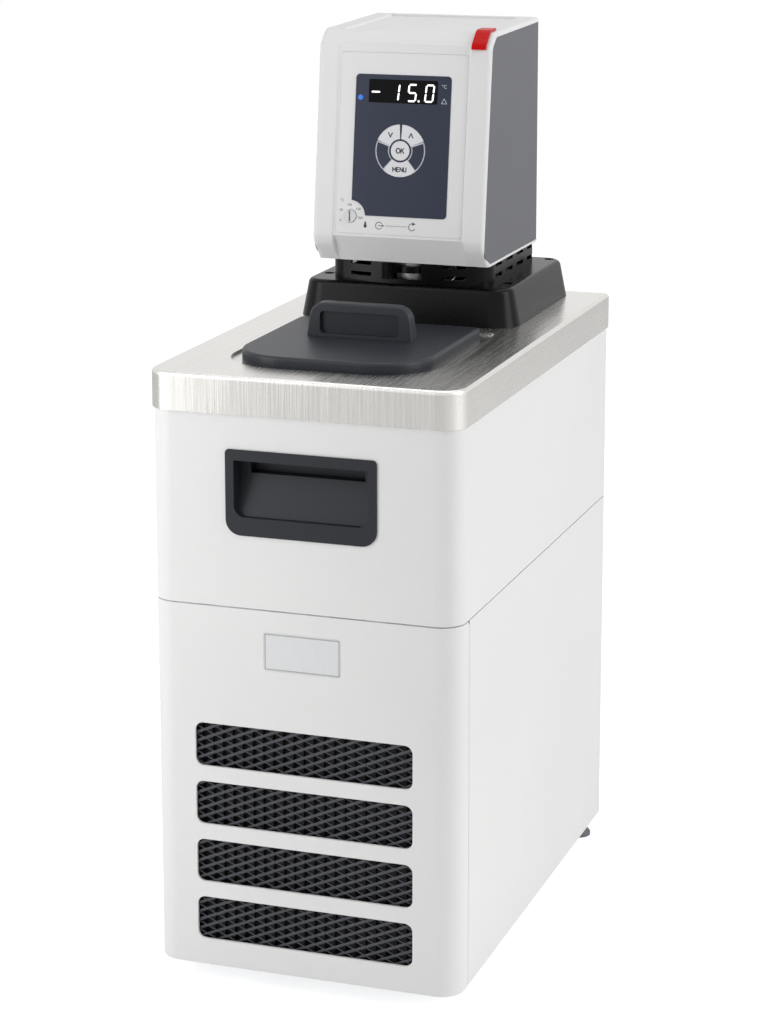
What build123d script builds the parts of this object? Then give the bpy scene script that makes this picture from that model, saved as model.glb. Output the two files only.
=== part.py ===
"""A compact refrigerated circulator: a cooled bath below, a pumping and heating head above.

Millimetres. X runs across, Y from front to back, Z up. The origin is on the floor, under the
middle of the cabinet. Heights on the head are measured from the top of the deck.
"""
from build123d import *
import math
import os

# Cabinet
deck_width = 230.0
deck_length = 390.0
deck_rim = 27.0
deck_sheet = 1.2
deck_bend = 3.0
deck_front_r = 18.5
deck_rear_r = 4.5
deck_fit = 0.3
foot_height = 16.0
lower_height = 267.3
seam_gap = 1.0
upper_height = 162.7
cabinet_wall = 1.2
cover_wall = 2.0
side_seam_y = -169.0
side_seam_gap = 0.6
seam_notch = 2.0
flange_width = 9.0
pan_sheet = 1.5
pan_upstand = 14.0
sheet_fit = 0.3
shelf_sheet = 1.2

# Feet
foot_x = 99.5
foot_front_x = 92.0
foot_rear_y = 177.0
foot_front_y = -145.0
foot_flange_r = 10.0
foot_flange_t = 2.5
foot_neck_r = 7.0
foot_screw_r = 2.0
foot_screw_head_r = 3.8
foot_screw_head_t = 2.6
foot_pocket_r = 4.6
foot_pocket_depth = 7.0

# Front vents and badge place
vent_width = 161.4
vent_height = 31.9
vent_pitch = 43.35
vent_count = 4
vent_top_centre = 165.4
vent_r = 6.0
mesh_border = 4.0
mesh_sheet = 1.2
mesh_strand = 2.6
mesh_pitch_x = 21.0
mesh_pitch_z = 15.2
badge_width = 56.8
badge_height = 27.5
badge_centre = 238.3
badge_r = 2.5
badge_sheet = 1.0

# Grips
grip_width = 110.4
grip_height = 60.7
grip_top = 51.3
grip_flange = 1.0
grip_corner_top = 3.0
grip_corner_bottom = 11.0
grip_wall = 2.4
pocket_width = 98.0
pocket_top = 59.0
pocket_bottom = 99.0
pocket_r = 8.0
pocket_shelf = 70.5
pocket_depth = 14.0
pocket_lip = 4.0
finger_width = 84.0
finger_depth = 23.0
finger_rise = 3.0

# Bath
bath_width = 130.0
bath_front_y = -150.0
bath_rear_y = -11.0
bath_front_r = 36.0
bath_rear_r = 5.0
bath_depth = 150.0
recess_margin = 13.0
recess_front_margin = 12.0
recess_rear_margin = 18.0
recess_front_r = 45.0
recess_rear_r = 6.0
recess_depth = 2.0
tank_width = 134.0
tank_front_y = -153.0
tank_rear_y = 80.0
tank_wall = 1.0
tank_front_r = 32.0
tank_rear_r = 12.0
tank_floor_r = 8.0
tank_flange = 7.0
foam_side = 20.0
foam_front = 11.0
foam_rear = 18.0

# Lid
lid_width = 141.0
lid_front_y = -155.0
lid_rear_y = -6.0
lid_front_r = 40.0
lid_rear_r = 5.0
lid_top = 6.8
lid_edge_r = 2.5
lid_wall = 3.0
lid_skirt = 6.0
lid_fit = 1.5
handle_width = 80.0
handle_top_width = 74.0
handle_front_y = -75.0
handle_depth = 14.0
handle_top_depth = 11.0
handle_top = 31.0
handle_corner_r = 11.0
handle_edge_r = 1.5
handle_pocket_width = 60.0
handle_pocket_low = 9.0
handle_pocket_high = 25.0
handle_pocket_depth = 4.0
handle_pocket_r = 3.0

# Bridge and neck
bridge_width = 172.0
bridge_front_y = 22.8
bridge_rear_y = 187.0
bridge_top = 28.3
bridge_draft = 11.0
bridge_r = 20.0
bridge_edge_r = 4.0
bridge_wall = 2.5
bridge_screw_x = 71.0
bridge_screw_front_y = 58.0
bridge_screw_rear_y = 172.5
screw_well_r = 4.0
screw_well_depth = 3.0
neck_width = 126.0
neck_front_y = 30.0
neck_rear_y = 157.0
neck_bulge = 10.0
neck_corner_r = 15.0
neck_wall = 2.5
slot_length = 17.0
slot_pitch = 28.0
slot_height = 3.0
slot_low = 5.7
slot_high = 14.2

# Head
head_width = 133.4
head_bottom = 45.7
head_top_front = 217.0
head_top_rear = 219.5
head_rear_y = 151.0
head_edge_r = 3.0
panel_ref = 69.0
panel_front_y = 11.2
panel_lean = 7.2
cheek_rise = 1.5
panel_half = 50.0
crease = 1.4
head_chin_y = 23.5
head_chin_z = 61.5
head_chin_r = 14.0
head_brow_z = 207.0
head_brow_y = 38.6
head_brow_r = 8.0
head_wall = 2.5
frame_strip = 3.3
frame_bottom = 1.7
side_inset = 0.4
centre_wall = 2.0
top_recess_rear_y = 145.0
top_recess_depth = 1.4
head_opening_half = 48.0
head_opening_front_y = 36.0

# Panel
fascia_half = 49.0
fascia_low = 68.0
fascia_high = 201.0
fascia_r = 2.0
fascia_fit = 0.15
fascia_flange = 2.0
fascia_flange_t = 1.5
foil_half = 37.0
foil_low = 81.5
foil_high = 185.2
foil_r = 3.0
foil_t = 0.4
window_half = 26.7
window_low = 164.5
window_high = 181.7
window_t = 0.5
window_seat = 1.0
window_ledge = 2.0
led_x = -33.0
led_z = 168.0
led_r = 2.0
key_x = -0.5
key_z = 130.0
key_outer_r = 19.3
key_inner_r = 8.6
key_disc_r = 7.2
key_fit = 0.3
key_proud = 0.7
key_travel = 0.5
key_tab = 1.6
key_tab_t = 1.2
key_seat = 0.15
disc_tab_half = 11.0
disc_tab_height = 4.6
dial_x = -37.9
dial_z = 80.7
dial_r = 4.8
dial_fit = 0.3
dial_cut_r = 11.9
dial_proud = 1.2
dial_slot = 1.1
dial_stem_r = 2.0
shaft_fit = 0.06
board_t = 1.6
board_gap = 5.0

# Power rocker
rocker_x = 57.2
rocker_width = 10.8
rocker_low = 205.5
rocker_rear_y = 52.0
rocker_gap = 0.4
rocker_t = 1.6
rocker_stem_width = 5.6
rocker_stem_depth = 8.0
rocker_pivot_y = 38.0
rocker_pivot_z = 203.0
rocker_pin_r = 1.2
rocker_angle = 6.0
rocker_body_low = 188.0

# Pump, heater and sensors
pump_y = 52.0
plate_t = 2.0
plate_half = 60.0
plate_front_y = 26.4
plate_rear_y = 92.0
pump_opening_half = 50.0
pump_opening_front_y = 28.0
pump_opening_rear_y = 76.0
pump_opening_r = 6.0
tube_r = 9.0
tube_wall = 2.0
chamber_r = 17.0
chamber_top = -112.0
chamber_height = 22.0
chamber_wall = 2.0
chamber_inlet_r = 6.0
shaft_r = 3.0
impeller_r = 12.5
impeller_height = 8.0
impeller_hub_r = 5.5
vane_count = 6
vane_t = 1.4
bush_length = 10.0
motor_r = 26.0
motor_height = 56.0
motor_plate_t = 3.0
heater_r = 4.0
heater_half = 40.0
heater_y = 42.0
heater_floor_gap = 9.0
probe_r = 2.5
probe_x = 27.0
probe_length = 110.0
float_x = -27.0
float_r = 8.0
float_height = 18.0
float_rod_r = 2.0
float_rod_length = 62.0
sensor_y = 44.0
delivery_r = 5.0
riser_gap = 1.2
riser_angle = 30.0
return_depth = 40.0
nipple_r = 8.0
nipple_bore_r = 5.5
nipple_x = 18.0
nipple_z = 13.0
nipple_end_y = 194.6
nipple_collar_r = 9.6
nipple_collar_y = 187.3
coil_r = 4.0
coil_half = 58.0
coil_front_y = 6.0
coil_rear_y = 74.0
coil_low = 138.0
coil_pitch = 24.0
coil_turns = 3
coil_bend = 13.0
coil_end_y = 104.0

# Flow lever
lever_radius = 32.5
lever_rest = -27.0
lever_travel = 48.0
lever_width = 5.3
lever_low = 32.5
lever_high = 44.5
lever_depth = 7.0
lever_ribs = 3
lever_ring_t = 2.5
lever_ring_gap = 0.4
lever_slot_margin = 2.0

# Cooling machine
condenser_half = 80.0
condenser_front_gap = 4.0
condenser_depth = 40.0
condenser_low = 14.0
condenser_height = 172.0
fin_count = 21
fin_gap = 4.0
fin_depth = 3.0
header_r = 6.0
shroud_t = 1.5
shroud_half = 80.0
shroud_depth = 12.0
fan_r = 64.0
fan_tip_gap = 3.0
fan_hub_r = 18.0
fan_hub_depth = 16.0
blade_count = 5
blade_pitch = 28.0
blade_chord = 34.0
blade_t = 1.8
fan_shaft_r = 3.0
fan_motor_r = 24.0
fan_motor_depth = 34.0
fan_motor_gap = 5.0
compressor_x = -20.0
compressor_y = 62.0
compressor_r = 58.0
compressor_height = 138.0
compressor_dome = 26.0
compressor_band = 3.0
compressor_lift = 16.0
mount_r = 9.0
mount_spread_x = 58.0
mount_spread_y = 52.0
terminal_box = (34.0, 40.0, 46.0)
pipe_r = 3.5
dryer_r = 10.0
dryer_length = 78.0

# Drain
drain_x = 60.0
drain_z = 222.0
drain_r = 6.0
drain_body = 18.0
drain_knob_r = 13.0
drain_knob_t = 9.0
drain_face_y = -176.0

# Connections at the back
grille_half = 72.0
grille_low = 92.0
grille_high = 210.0
grille_margin = 8.0
grille_slots = 10
grille_slot_height = 4.5
inlet_width = 30.0
inlet_height = 24.0
inlet_depth = 18.0
inlet_wall = 2.0
inlet_x = -74.0
inlet_z = 44.0
outlet_x = -20.0
breaker_x = 32.0
head_inlet_z = 66.0
pin_width = 2.0
pin_height = 4.0
pin_length = 12.0
pin_spread = 7.0
cover_screw_r = 3.6
cover_screw_t = 1.6
cover_screw_shank_r = 1.6

# Derived places
deck_z = foot_height + lower_height + seam_gap + upper_height + deck_sheet
seam_z = foot_height + lower_height
upper_z = seam_z + seam_gap
under_deck = deck_z - deck_sheet
shelf_z = seam_z + shelf_sheet
rim_offset = deck_sheet + deck_fit
cabinet_width = deck_width - 2 * rim_offset
cabinet_front = -deck_length / 2 + rim_offset
cabinet_rear = deck_length / 2 - rim_offset
cabinet_front_r = deck_front_r - rim_offset
cabinet_rear_r = deck_rear_r - rim_offset
recess_z = deck_z - recess_depth
recess_under = recess_z - deck_sheet
tank_floor = deck_z - bath_depth
lean_cos = math.cos(math.radians(panel_lean))
lean_tan = math.tan(math.radians(panel_lean))
neck_base = deck_z + bridge_top
head_z = deck_z + head_bottom
eps = 0.01


def block(x0, x1, y0, y1, z0, z1):
    """A box between two corners."""
    return Pos((x0 + x1) / 2, (y0 + y1) / 2, (z0 + z1) / 2) * Box(x1 - x0, y1 - y0, z1 - z0)


def post(radius, z0, z1, x=0.0, y=0.0):
    """An upright round bar."""
    return Pos(x, y, (z0 + z1) / 2) * Cylinder(radius, z1 - z0)


def bar_y(radius, y0, y1, x, z):
    """A round bar that runs from front to back."""
    return Pos(x, (y0 + y1) / 2, z) * Rot(90, 0, 0) * Cylinder(radius, y1 - y0)


def plan(width, y0, y1, front_r, rear_r):
    """A rectangle in plan with its own corner radii at the front and at the back."""
    sketch = Pos(0, (y0 + y1) / 2) * Rectangle(width, y1 - y0)
    if front_r > 0:
        sketch = fillet(sketch.vertices().group_by(Axis.Y)[0], front_r)
    if rear_r > 0:
        sketch = fillet(sketch.vertices().group_by(Axis.Y)[-1], rear_r)
    return sketch


def slab(sketch, z0, z1):
    """A plan outline raised from one height to another."""
    return Pos(0, 0, z0) * extrude(sketch, amount=z1 - z0)


def side_prism(points, half_width):
    """A side outline, as (y, z) points or a face, carried across the width."""
    return extrude(Plane.YZ * points, amount=half_width, both=True)


def tube(points, radius, bend):
    """A round rod along straight runs joined by arcs of one radius."""
    path = FilletPolyline(*points, radius=bend)
    start = Plane(origin=path @ 0, z_dir=path % 0)
    return sweep(start * Circle(radius), path=path)


def cabinet_block(z0, z1, inset=0.0):
    """The cabinet's full section between two heights, drawn in by an inset."""
    outline = plan(cabinet_width - 2 * inset, cabinet_front + inset, cabinet_rear - inset,
                   cabinet_front_r - inset, max(cabinet_rear_r - inset, 0.6))
    return slab(outline, z0, z1)


def base_pan():
    """Floor tray of folded sheet with an upstand all round and holes for the foot screws."""
    inset = cover_wall + sheet_fit
    tray = cabinet_block(foot_height, foot_height + pan_upstand, inset)
    tray -= cabinet_block(foot_height + pan_sheet, foot_height + pan_upstand + 1, inset + pan_sheet)
    for x, y in foot_places():
        tray -= post(foot_screw_r, foot_height - 1, foot_height + pan_sheet + 1, x, y)
    return tray


def foot_places():
    """The four feet: the front pair stands further in than the rear pair."""
    return [(side * x, y) for x, y in ((foot_front_x, foot_front_y), (foot_x, foot_rear_y))
            for side in (-1, 1)]


def rubber_feet():
    """Conical feet with a flared rim on the floor and a screw pocket from below."""
    profile = Polyline((foot_screw_r, foot_pocket_depth), (foot_pocket_r, foot_pocket_depth),
                       (foot_pocket_r, 0), (foot_flange_r, 0), (foot_flange_r, foot_flange_t),
                       (foot_neck_r, foot_flange_t + 4), (foot_neck_r - 0.6, foot_height),
                       (foot_screw_r, foot_height), close=True)
    foot = revolve(Plane.XZ * make_face(profile), Axis.Z)
    return Compound(children=[Pos(x, y, 0) * foot for x, y in foot_places()])


def foot_screws():
    """A pan-head screw through each foot into the base pan."""
    head_z = foot_pocket_depth - foot_screw_head_t
    screw = post(foot_screw_head_r, head_z, foot_pocket_depth)
    screw += post(foot_screw_r, foot_pocket_depth, foot_height + pan_sheet + 2)
    return [Pos(x, y, 0) * screw for x, y in foot_places()]


def lower_housing():
    """Sides and back of the lower cabinet, folded from sheet, with a flange at the top."""
    wrap = cabinet_block(foot_height, seam_z) - cabinet_block(foot_height - 1, seam_z + 1, cabinet_wall)
    wrap += (cabinet_block(seam_z - cabinet_wall, seam_z)
             - cabinet_block(seam_z - 2 * cabinet_wall, seam_z + 1, flange_width))
    wrap &= block(-deck_width, deck_width, side_seam_y + side_seam_gap, deck_length, 0, deck_z)
    low, high = foot_height + grille_low, foot_height + grille_high
    edge = grille_margin
    wrap -= block(-grille_half + edge, grille_half - edge, cabinet_rear - 5, cabinet_rear + 5,
                  low + edge, high - edge)
    for x in (inlet_x, outlet_x):
        wrap -= socket_hole(x, foot_height + inlet_z)
    wrap -= breaker_block(sheet_fit / 2, cabinet_rear - 5, cabinet_rear + 5)
    return wrap


def socket_hole(x, z):
    """The cut-out in the back for an appliance socket."""
    half_w, half_h = inlet_width / 2, inlet_height / 2
    return block(x - half_w, x + half_w, cabinet_rear - 5, cabinet_rear + 5, z - half_h, z + half_h)


def breaker_block(grow, y0, y1):
    """The envelope of the circuit breaker's body, drawn out sideways by a clearance."""
    half_w, half_h = inlet_height / 2 + grow, inlet_height / 2 + grow
    z = foot_height + inlet_z
    return block(breaker_x - half_w, breaker_x + half_w, y0, y1, z - half_h, z + half_h)


def vent_centres():
    """Heights of the four vent windows, from the top one down."""
    return [foot_height + vent_top_centre - row * vent_pitch for row in range(vent_count)]


def vent_cutter(z, y0, y1, shrink=0.0):
    """A rounded window through the front at one height."""
    outline = RectangleRounded(vent_width - 2 * shrink, vent_height - 2 * shrink, vent_r - shrink / 2)
    face = Plane(origin=(0, y0, z), x_dir=(1, 0, 0), z_dir=(0, 1, 0)) * outline
    return extrude(face, amount=y1 - y0)


def front_cover():
    """The lower front cover: it wraps round both corners and carries the vent windows."""
    cover = cabinet_block(foot_height, seam_z) - cabinet_block(foot_height - 1, seam_z + 1, cover_wall)
    cover &= block(-deck_width, deck_width, -deck_length, side_seam_y, 0, deck_z)
    for side in (-1, 1):
        corner = Pos(side * cabinet_width / 2, side_seam_y, seam_z) * Rot(45, 0, 0)
        cover -= corner * Box(4 * cover_wall, seam_notch * 2, seam_notch * 2)
    for z in vent_centres():
        cover -= vent_cutter(z, cabinet_front - 5, cabinet_front + 5)
    z = foot_height + badge_centre
    face = Plane(origin=(0, cabinet_front - 1, z), x_dir=(1, 0, 0), z_dir=(0, 1, 0))
    cover -= extrude(face * RectangleRounded(badge_width, badge_height, badge_r), amount=1 + badge_sheet)
    return cover


def badge_plate():
    """A bare plate set flush in its place on the front cover."""
    z = foot_height + badge_centre
    face = Plane(origin=(0, cabinet_front, z), x_dir=(1, 0, 0), z_dir=(0, 1, 0))
    outline = RectangleRounded(badge_width - sheet_fit, badge_height - sheet_fit, badge_r)
    return extrude(face * outline, amount=badge_sheet)


def mesh_hole():
    """One opening of expanded metal: a flat hexagon, long across."""
    half_x, half_z = mesh_pitch_x / 2 - mesh_strand, mesh_pitch_z / 2 - mesh_strand * 0.62
    tip = half_x * 0.34
    return Polygon((-half_x, 0), (-tip, -half_z), (tip, -half_z), (half_x, 0), (tip, half_z),
                   (-tip, half_z), align=None)


def vent_mesh():
    """An expanded-metal sheet behind the windows, open only where the windows are."""
    low = vent_centres()[-1] - vent_height / 2 - mesh_border
    high = vent_centres()[0] + vent_height / 2 + mesh_border
    half = vent_width / 2 + mesh_border
    centre = (low + high) / 2
    y = cabinet_front + cover_wall
    face = Pos(0, 0) * Rectangle(2 * half, high - low)
    columns = int(vent_width / mesh_pitch_x)
    holes = []
    for z in vent_centres():
        for row in range(5):
            shift = (row - 2) * mesh_pitch_z / 2
            if abs(shift) + mesh_pitch_z / 2 > vent_height / 2 + 1.5 and row in (0, 4):
                continue
            count = columns - (row % 2)
            start = -(count - 1) / 2 * mesh_pitch_x
            holes += [Pos(start + n * mesh_pitch_x, -(z - centre + shift)) * mesh_hole()
                      for n in range(count)]
    face -= holes
    plane = Plane(origin=(0, y, centre), x_dir=(1, 0, 0), z_dir=(0, 1, 0))
    return extrude(plane * face, amount=mesh_sheet)


def upper_housing():
    """The painted band between the seam and the deck, flanged under the deck, cut for the grips."""
    band = cabinet_block(upper_z, under_deck)
    band = fillet(band.faces().sort_by(Axis.Z)[-1].edges(), 2 * cabinet_wall)
    band -= cabinet_block(upper_z - 1, under_deck - cabinet_wall, cabinet_wall)
    band -= cabinet_block(upper_z, deck_z, flange_width)
    for plane in (grip_plane(-1), grip_plane(1)):
        hole = plane * Pos(0, 0, -5) * extrude(grip_hole_sketch(), amount=10)
        band -= hole
    return band


def grip_plane(side):
    """The outer face of the cabinet where a grip sits: side -1 is the front, 1 the back."""
    y = cabinet_front if side < 0 else cabinet_rear
    x_dir = (1, 0, 0) if side < 0 else (-1, 0, 0)
    return Plane(origin=(0, y, deck_z), x_dir=x_dir, z_dir=(0, side, 0))


def grip_hole_sketch():
    """The cut-out that takes the grip's pocket, inside its flange."""
    half = pocket_width / 2 + grip_wall + sheet_fit
    top = -pocket_top + finger_rise + grip_wall + sheet_fit
    bottom = -pocket_bottom - grip_wall - sheet_fit
    return Pos(0, (top + bottom) / 2) * Rectangle(2 * half, top - bottom)


def grip(side):
    """A moulded finger grip: flange, sloping pocket and a deeper finger slot behind the top lip."""
    plane = grip_plane(side)
    outline = Pos(0, -grip_top - grip_height / 2) * Rectangle(grip_width, grip_height)
    outline = fillet(outline.vertices().group_by(Axis.Y)[0], grip_corner_bottom)
    outline = fillet(outline.vertices().group_by(Axis.Y)[-1], grip_corner_top)
    body = extrude(outline, amount=grip_flange)
    half = pocket_width / 2
    wall = grip_wall

    def section(grow, mouth):
        """The pocket's side section as (depth, height) points."""
        return Polygon((mouth, -pocket_top + finger_rise + grow),
                       (-finger_depth - grow, -pocket_top + finger_rise + grow),
                       (-finger_depth - grow, -pocket_shelf - grow),
                       (-pocket_depth - grow, -pocket_shelf - grow),
                       (-pocket_lip - grow, -pocket_bottom - grow),
                       (mouth, -pocket_bottom - grow), align=None)

    shell = extrude(Plane.YZ * Pos(0, 0) * mirror_depth(section(wall, 0)), amount=half + wall, both=True)
    body += shell
    opening = Pos(0, -(pocket_top + pocket_bottom) / 2) * Rectangle(2 * half, pocket_bottom - pocket_top)
    opening = fillet(opening.vertices().group_by(Axis.Y)[0], pocket_r)
    hollow = extrude(Plane.YZ * mirror_depth(section(0, -grip_wall)), amount=finger_width / 2, both=True)
    wide = extrude(Plane.YZ * mirror_depth(section(0, -grip_wall)), amount=half, both=True)
    wide &= Pos(0, 0, -pocket_depth) * extrude(opening, amount=pocket_depth + 5)
    body -= hollow
    body -= wide
    body -= extrude(opening, amount=5) + Pos(0, 0, -grip_wall - eps) * extrude(opening, amount=grip_wall + 1)
    return plane.location * body


def mirror_depth(face):
    """Turn a (depth, height) face drawn on X, Y so that depth runs along the face's normal."""
    return Plane(origin=(0, 0, 0), x_dir=(0, 1, 0), z_dir=(0, 0, -1)) * face


def grips():
    """The two moulded grips, front and back."""
    return Compound(children=[grip(-1), grip(1)])


def bath_plan(margin=0.0):
    """The bath opening in plan, drawn out by a margin."""
    return plan(bath_width + 2 * margin, bath_front_y - margin, bath_rear_y + margin,
                bath_front_r + margin, bath_rear_r + margin)


def recess_plan(grow=0.0):
    """The shallow recess pressed round the bath opening."""
    return plan(bath_width + 2 * (recess_margin + grow), bath_front_y - recess_front_margin - grow,
                bath_rear_y + recess_rear_margin + grow, recess_front_r + grow, recess_rear_r + grow)


def pump_plan(grow=0.0):
    """The opening under the bridge for the pump, heater and sensors."""
    return plan(2 * (pump_opening_half + grow), pump_opening_front_y - grow,
                pump_opening_rear_y + grow, pump_opening_r + grow, pump_opening_r + grow)


def deck_plate():
    """Stainless deck: turned-down rim, pressed recess, bath opening and pump opening."""
    half = deck_length / 2
    outer = slab(plan(deck_width, -half, half, deck_front_r, deck_rear_r), deck_z - deck_rim, deck_z)
    outer = fillet(outer.faces().sort_by(Axis.Z)[-1].edges(), deck_bend)
    inner = slab(plan(deck_width - 2 * deck_sheet, -half + deck_sheet, half - deck_sheet,
                      deck_front_r - deck_sheet, deck_rear_r - deck_sheet), deck_z - deck_rim, under_deck)
    inner = fillet(inner.faces().sort_by(Axis.Z)[-1].edges(), deck_bend - deck_sheet)
    deck = outer - inner
    deck += slab(recess_plan(deck_sheet), recess_under, under_deck)
    deck -= slab(recess_plan(), recess_z, deck_z + 1)
    deck -= slab(bath_plan(), recess_under - 1, deck_z + 1)
    deck -= slab(pump_plan(), recess_under - 1, deck_z + 1)
    return deck


def tank_plan(grow=0.0):
    """The tank's inner section in plan, drawn out by a margin."""
    return plan(tank_width + 2 * grow, tank_front_y - grow, tank_rear_y + grow,
                tank_front_r + grow, tank_rear_r + grow)


def coil_ends():
    """Where the evaporator tube leaves through the tank's back wall: (x, z)."""
    low = deck_z - coil_low
    return [(coil_half, low), (-coil_half, low + (coil_turns - 0.75) * coil_pitch)]


def bath_tank():
    """Deep-drawn stainless tank, hung by its flange under the deck's recess."""
    outer = slab(tank_plan(tank_wall), tank_floor - tank_wall, recess_under)
    outer = fillet(outer.faces().sort_by(Axis.Z)[0].edges(), tank_floor_r + tank_wall)
    inner = slab(tank_plan(), tank_floor, recess_under + 1)
    inner = fillet(inner.faces().sort_by(Axis.Z)[0].edges(), tank_floor_r)
    flange = slab(tank_plan(tank_flange), recess_under - tank_wall, recess_under)
    tank = outer + flange - inner
    for x, z in coil_ends():
        tank -= bar_y(coil_r + 0.1, tank_rear_y - 8, tank_rear_y + 8, x, z)
    tank -= bar_y(drain_r - tank_wall, tank_front_y - 8, tank_front_y + 20, 0, drain_outlet_z())
    return tank


def drain_outlet_z():
    """Height of the drain outlet, just above the rounded floor of the tank."""
    return tank_floor + tank_floor_r + drain_r


def tank_insulation():
    """Foam jacket round the tank, on the mid shelf, cut for the grip pockets and the pipes."""
    grow = tank_wall
    jacket = slab(plan(tank_width + 2 * (grow + foam_side), tank_front_y - grow - foam_front,
                       tank_rear_y + grow + foam_rear, tank_front_r + foam_front, tank_rear_r + grow),
                  shelf_z, recess_under - tank_wall)
    outer = slab(tank_plan(grow), tank_floor - tank_wall, recess_under)
    jacket -= fillet(outer.faces().sort_by(Axis.Z)[0].edges(), tank_floor_r + tank_wall)
    for x, z in coil_ends():
        jacket -= bar_y(coil_r + 0.1, tank_rear_y - tank_rear_r, tank_rear_y + 2 * foam_rear, x, z)
    jacket -= block(-drain_r - 1, drain_r + 1, tank_front_y - 2 * foam_front, tank_front_y,
                    shelf_z - 1, drain_outlet_z() + drain_r)
    return jacket


def mid_shelf():
    """Sheet shelf between the cooling machine and the bath."""
    shelf = cabinet_block(seam_z, shelf_z, cabinet_wall + sheet_fit)
    shelf -= block(-coil_half - 12, coil_half + 12, coil_end_y - 8, coil_end_y + 12, seam_z - 1, shelf_z + 1)
    shelf -= block(-12, drain_x + 12, cabinet_front + 4, drain_face_y + 14, seam_z - 1, shelf_z + 1)
    return shelf


def evaporator_coil():
    """Cooling tube in the back of the bath: flat turns that climb round the pump."""
    low = deck_z - coil_low
    corners = [(coil_half, coil_rear_y), (coil_half, coil_front_y),
               (-coil_half, coil_front_y), (-coil_half, coil_rear_y)]
    points = [(coil_half, coil_end_y, low)]
    for step in range(1, 4 * coil_turns):
        x, y = corners[step % 4]
        points.append((x, y, low + (step - 1) * coil_pitch / 4))
    x, z = coil_ends()[1]
    return tube(points[:-1] + [(x, coil_end_y, z)], coil_r, coil_bend)


def lid_plan(grow=0.0):
    """The lid's outline in plan, drawn out by a margin."""
    return plan(lid_width + 2 * grow, lid_front_y - grow, lid_rear_y + grow,
                lid_front_r + grow, lid_rear_r + grow)


def lid_handle():
    """The lid's upright handle: a tapered bar with a finger pocket front and back."""
    base, top = deck_z + lid_top - 1, deck_z + handle_top
    front = Polygon((-handle_width / 2, base), (handle_width / 2, base),
                    (handle_top_width / 2, top), (-handle_top_width / 2, top), align=None)
    front = fillet(front.vertices().group_by(Axis.Y)[-1], handle_corner_r)
    rear = handle_front_y + handle_depth
    lean = (handle_depth - handle_top_depth) / 2
    bar = extrude(Plane.XZ * front, amount=deck_length, both=True)
    bar &= side_prism(Polygon((handle_front_y, base), (rear, base), (rear - lean, top),
                              (handle_front_y + lean, top), align=None), deck_width)
    bar = fillet(bar.faces().sort_by(Axis.Z)[-1].edges(), handle_edge_r)
    low, high = deck_z + handle_pocket_low, deck_z + handle_pocket_high
    pocket = Pos(0, (low + high) / 2) * RectangleRounded(handle_pocket_width, high - low, handle_pocket_r)
    for y in (handle_front_y, rear):
        bar -= Pos(0, y, 0) * extrude(Plane.XZ * pocket, amount=handle_pocket_depth, both=True)
    return bar


def bath_lid():
    """Moulded lid: a shallow tray turned over, a locating skirt and the handle, in one piece."""
    top = deck_z + lid_top
    lid = slab(lid_plan(), recess_z, top)
    lid = fillet(lid.faces().sort_by(Axis.Z)[-1].edges(), lid_edge_r)
    lid -= slab(lid_plan(-lid_wall), recess_z - 1, top - lid_wall)
    skirt = slab(bath_plan(-lid_fit), recess_z - lid_skirt, top - lid_wall)
    skirt -= slab(bath_plan(-lid_fit - lid_wall), recess_z - lid_skirt - 1, top - lid_wall + 1)
    return lid + skirt + lid_handle()


def bridge_screw_places():
    """The four screws that hold the bridge to the deck."""
    return [(side * bridge_screw_x, y) for y in (bridge_screw_front_y, bridge_screw_rear_y)
            for side in (-1, 1)]


def neck_plan(inset=0.0):
    """The neck in plan: a bulging front between round corners, drawn in by an inset."""
    half = neck_width / 2 - inset
    front, rear = neck_front_y + inset, neck_rear_y - inset
    outline = [ThreePointArc((-half, front + neck_bulge), (0, front), (half, front + neck_bulge)),
               Line((half, front + neck_bulge), (half, rear)), Line((half, rear), (-half, rear)),
               Line((-half, rear), (-half, front + neck_bulge))]
    face = make_face(outline)
    face = fillet(face.vertices().group_by(Axis.Y)[-1], 6 - inset)
    return fillet(face.vertices().group_by(Axis.Y)[0], neck_corner_r - inset)


def bridge_cover():
    """Moulded bridge: a drafted shell with screw bosses, open under the neck."""
    def shell(shrink, height):
        outline = plan(bridge_width - 2 * shrink, bridge_front_y + shrink, bridge_rear_y - shrink,
                       bridge_r - shrink, bridge_r - shrink)
        return Pos(0, 0, deck_z) * extrude(outline, amount=height, taper=bridge_draft)

    outer = shell(0, bridge_top)
    outer = fillet(outer.faces().sort_by(Axis.Z)[-1].edges(), bridge_edge_r)
    cover = outer - shell(bridge_wall, bridge_top - bridge_wall)
    top = deck_z + bridge_top
    for x, y in bridge_screw_places():
        cover += post(screw_well_r + 2, deck_z, top - 1, x, y)
        cover -= post(screw_well_r, top - screw_well_depth, top + 1, x, y)
        cover -= post(cover_screw_shank_r, deck_z - 1, top, x, y)
    cover -= slab(neck_plan(neck_wall), top - 2 * bridge_wall, top + 1)
    for side in (-1, 1):
        cover -= bar_y(nipple_collar_r + sheet_fit, bridge_rear_y - 20, bridge_rear_y + 5, side * nipple_x,
                       deck_z + nipple_z)
    return cover


def bridge_screws():
    """The screws sunk in the bridge's wells."""
    well = deck_z + bridge_top - screw_well_depth
    screws = []
    for x, y in bridge_screw_places():
        screw = post(cover_screw_r, well, well + cover_screw_t, x, y)
        screws.append(screw + post(cover_screw_shank_r, deck_z, well, x, y))
    return screws


def sector(r0, r1, a0, a1):
    """A ring sector between two radii and two angles, in degrees from +X."""
    def at(radius, angle):
        return (radius * math.cos(math.radians(angle)), radius * math.sin(math.radians(angle)))

    return make_face([CenterArc((0, 0), r1, a0, a1 - a0), Line(at(r1, a1), at(r0, a1)),
                      CenterArc((0, 0), r0, a0, a1 - a0), Line(at(r0, a0), at(r1, a0))])


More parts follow.
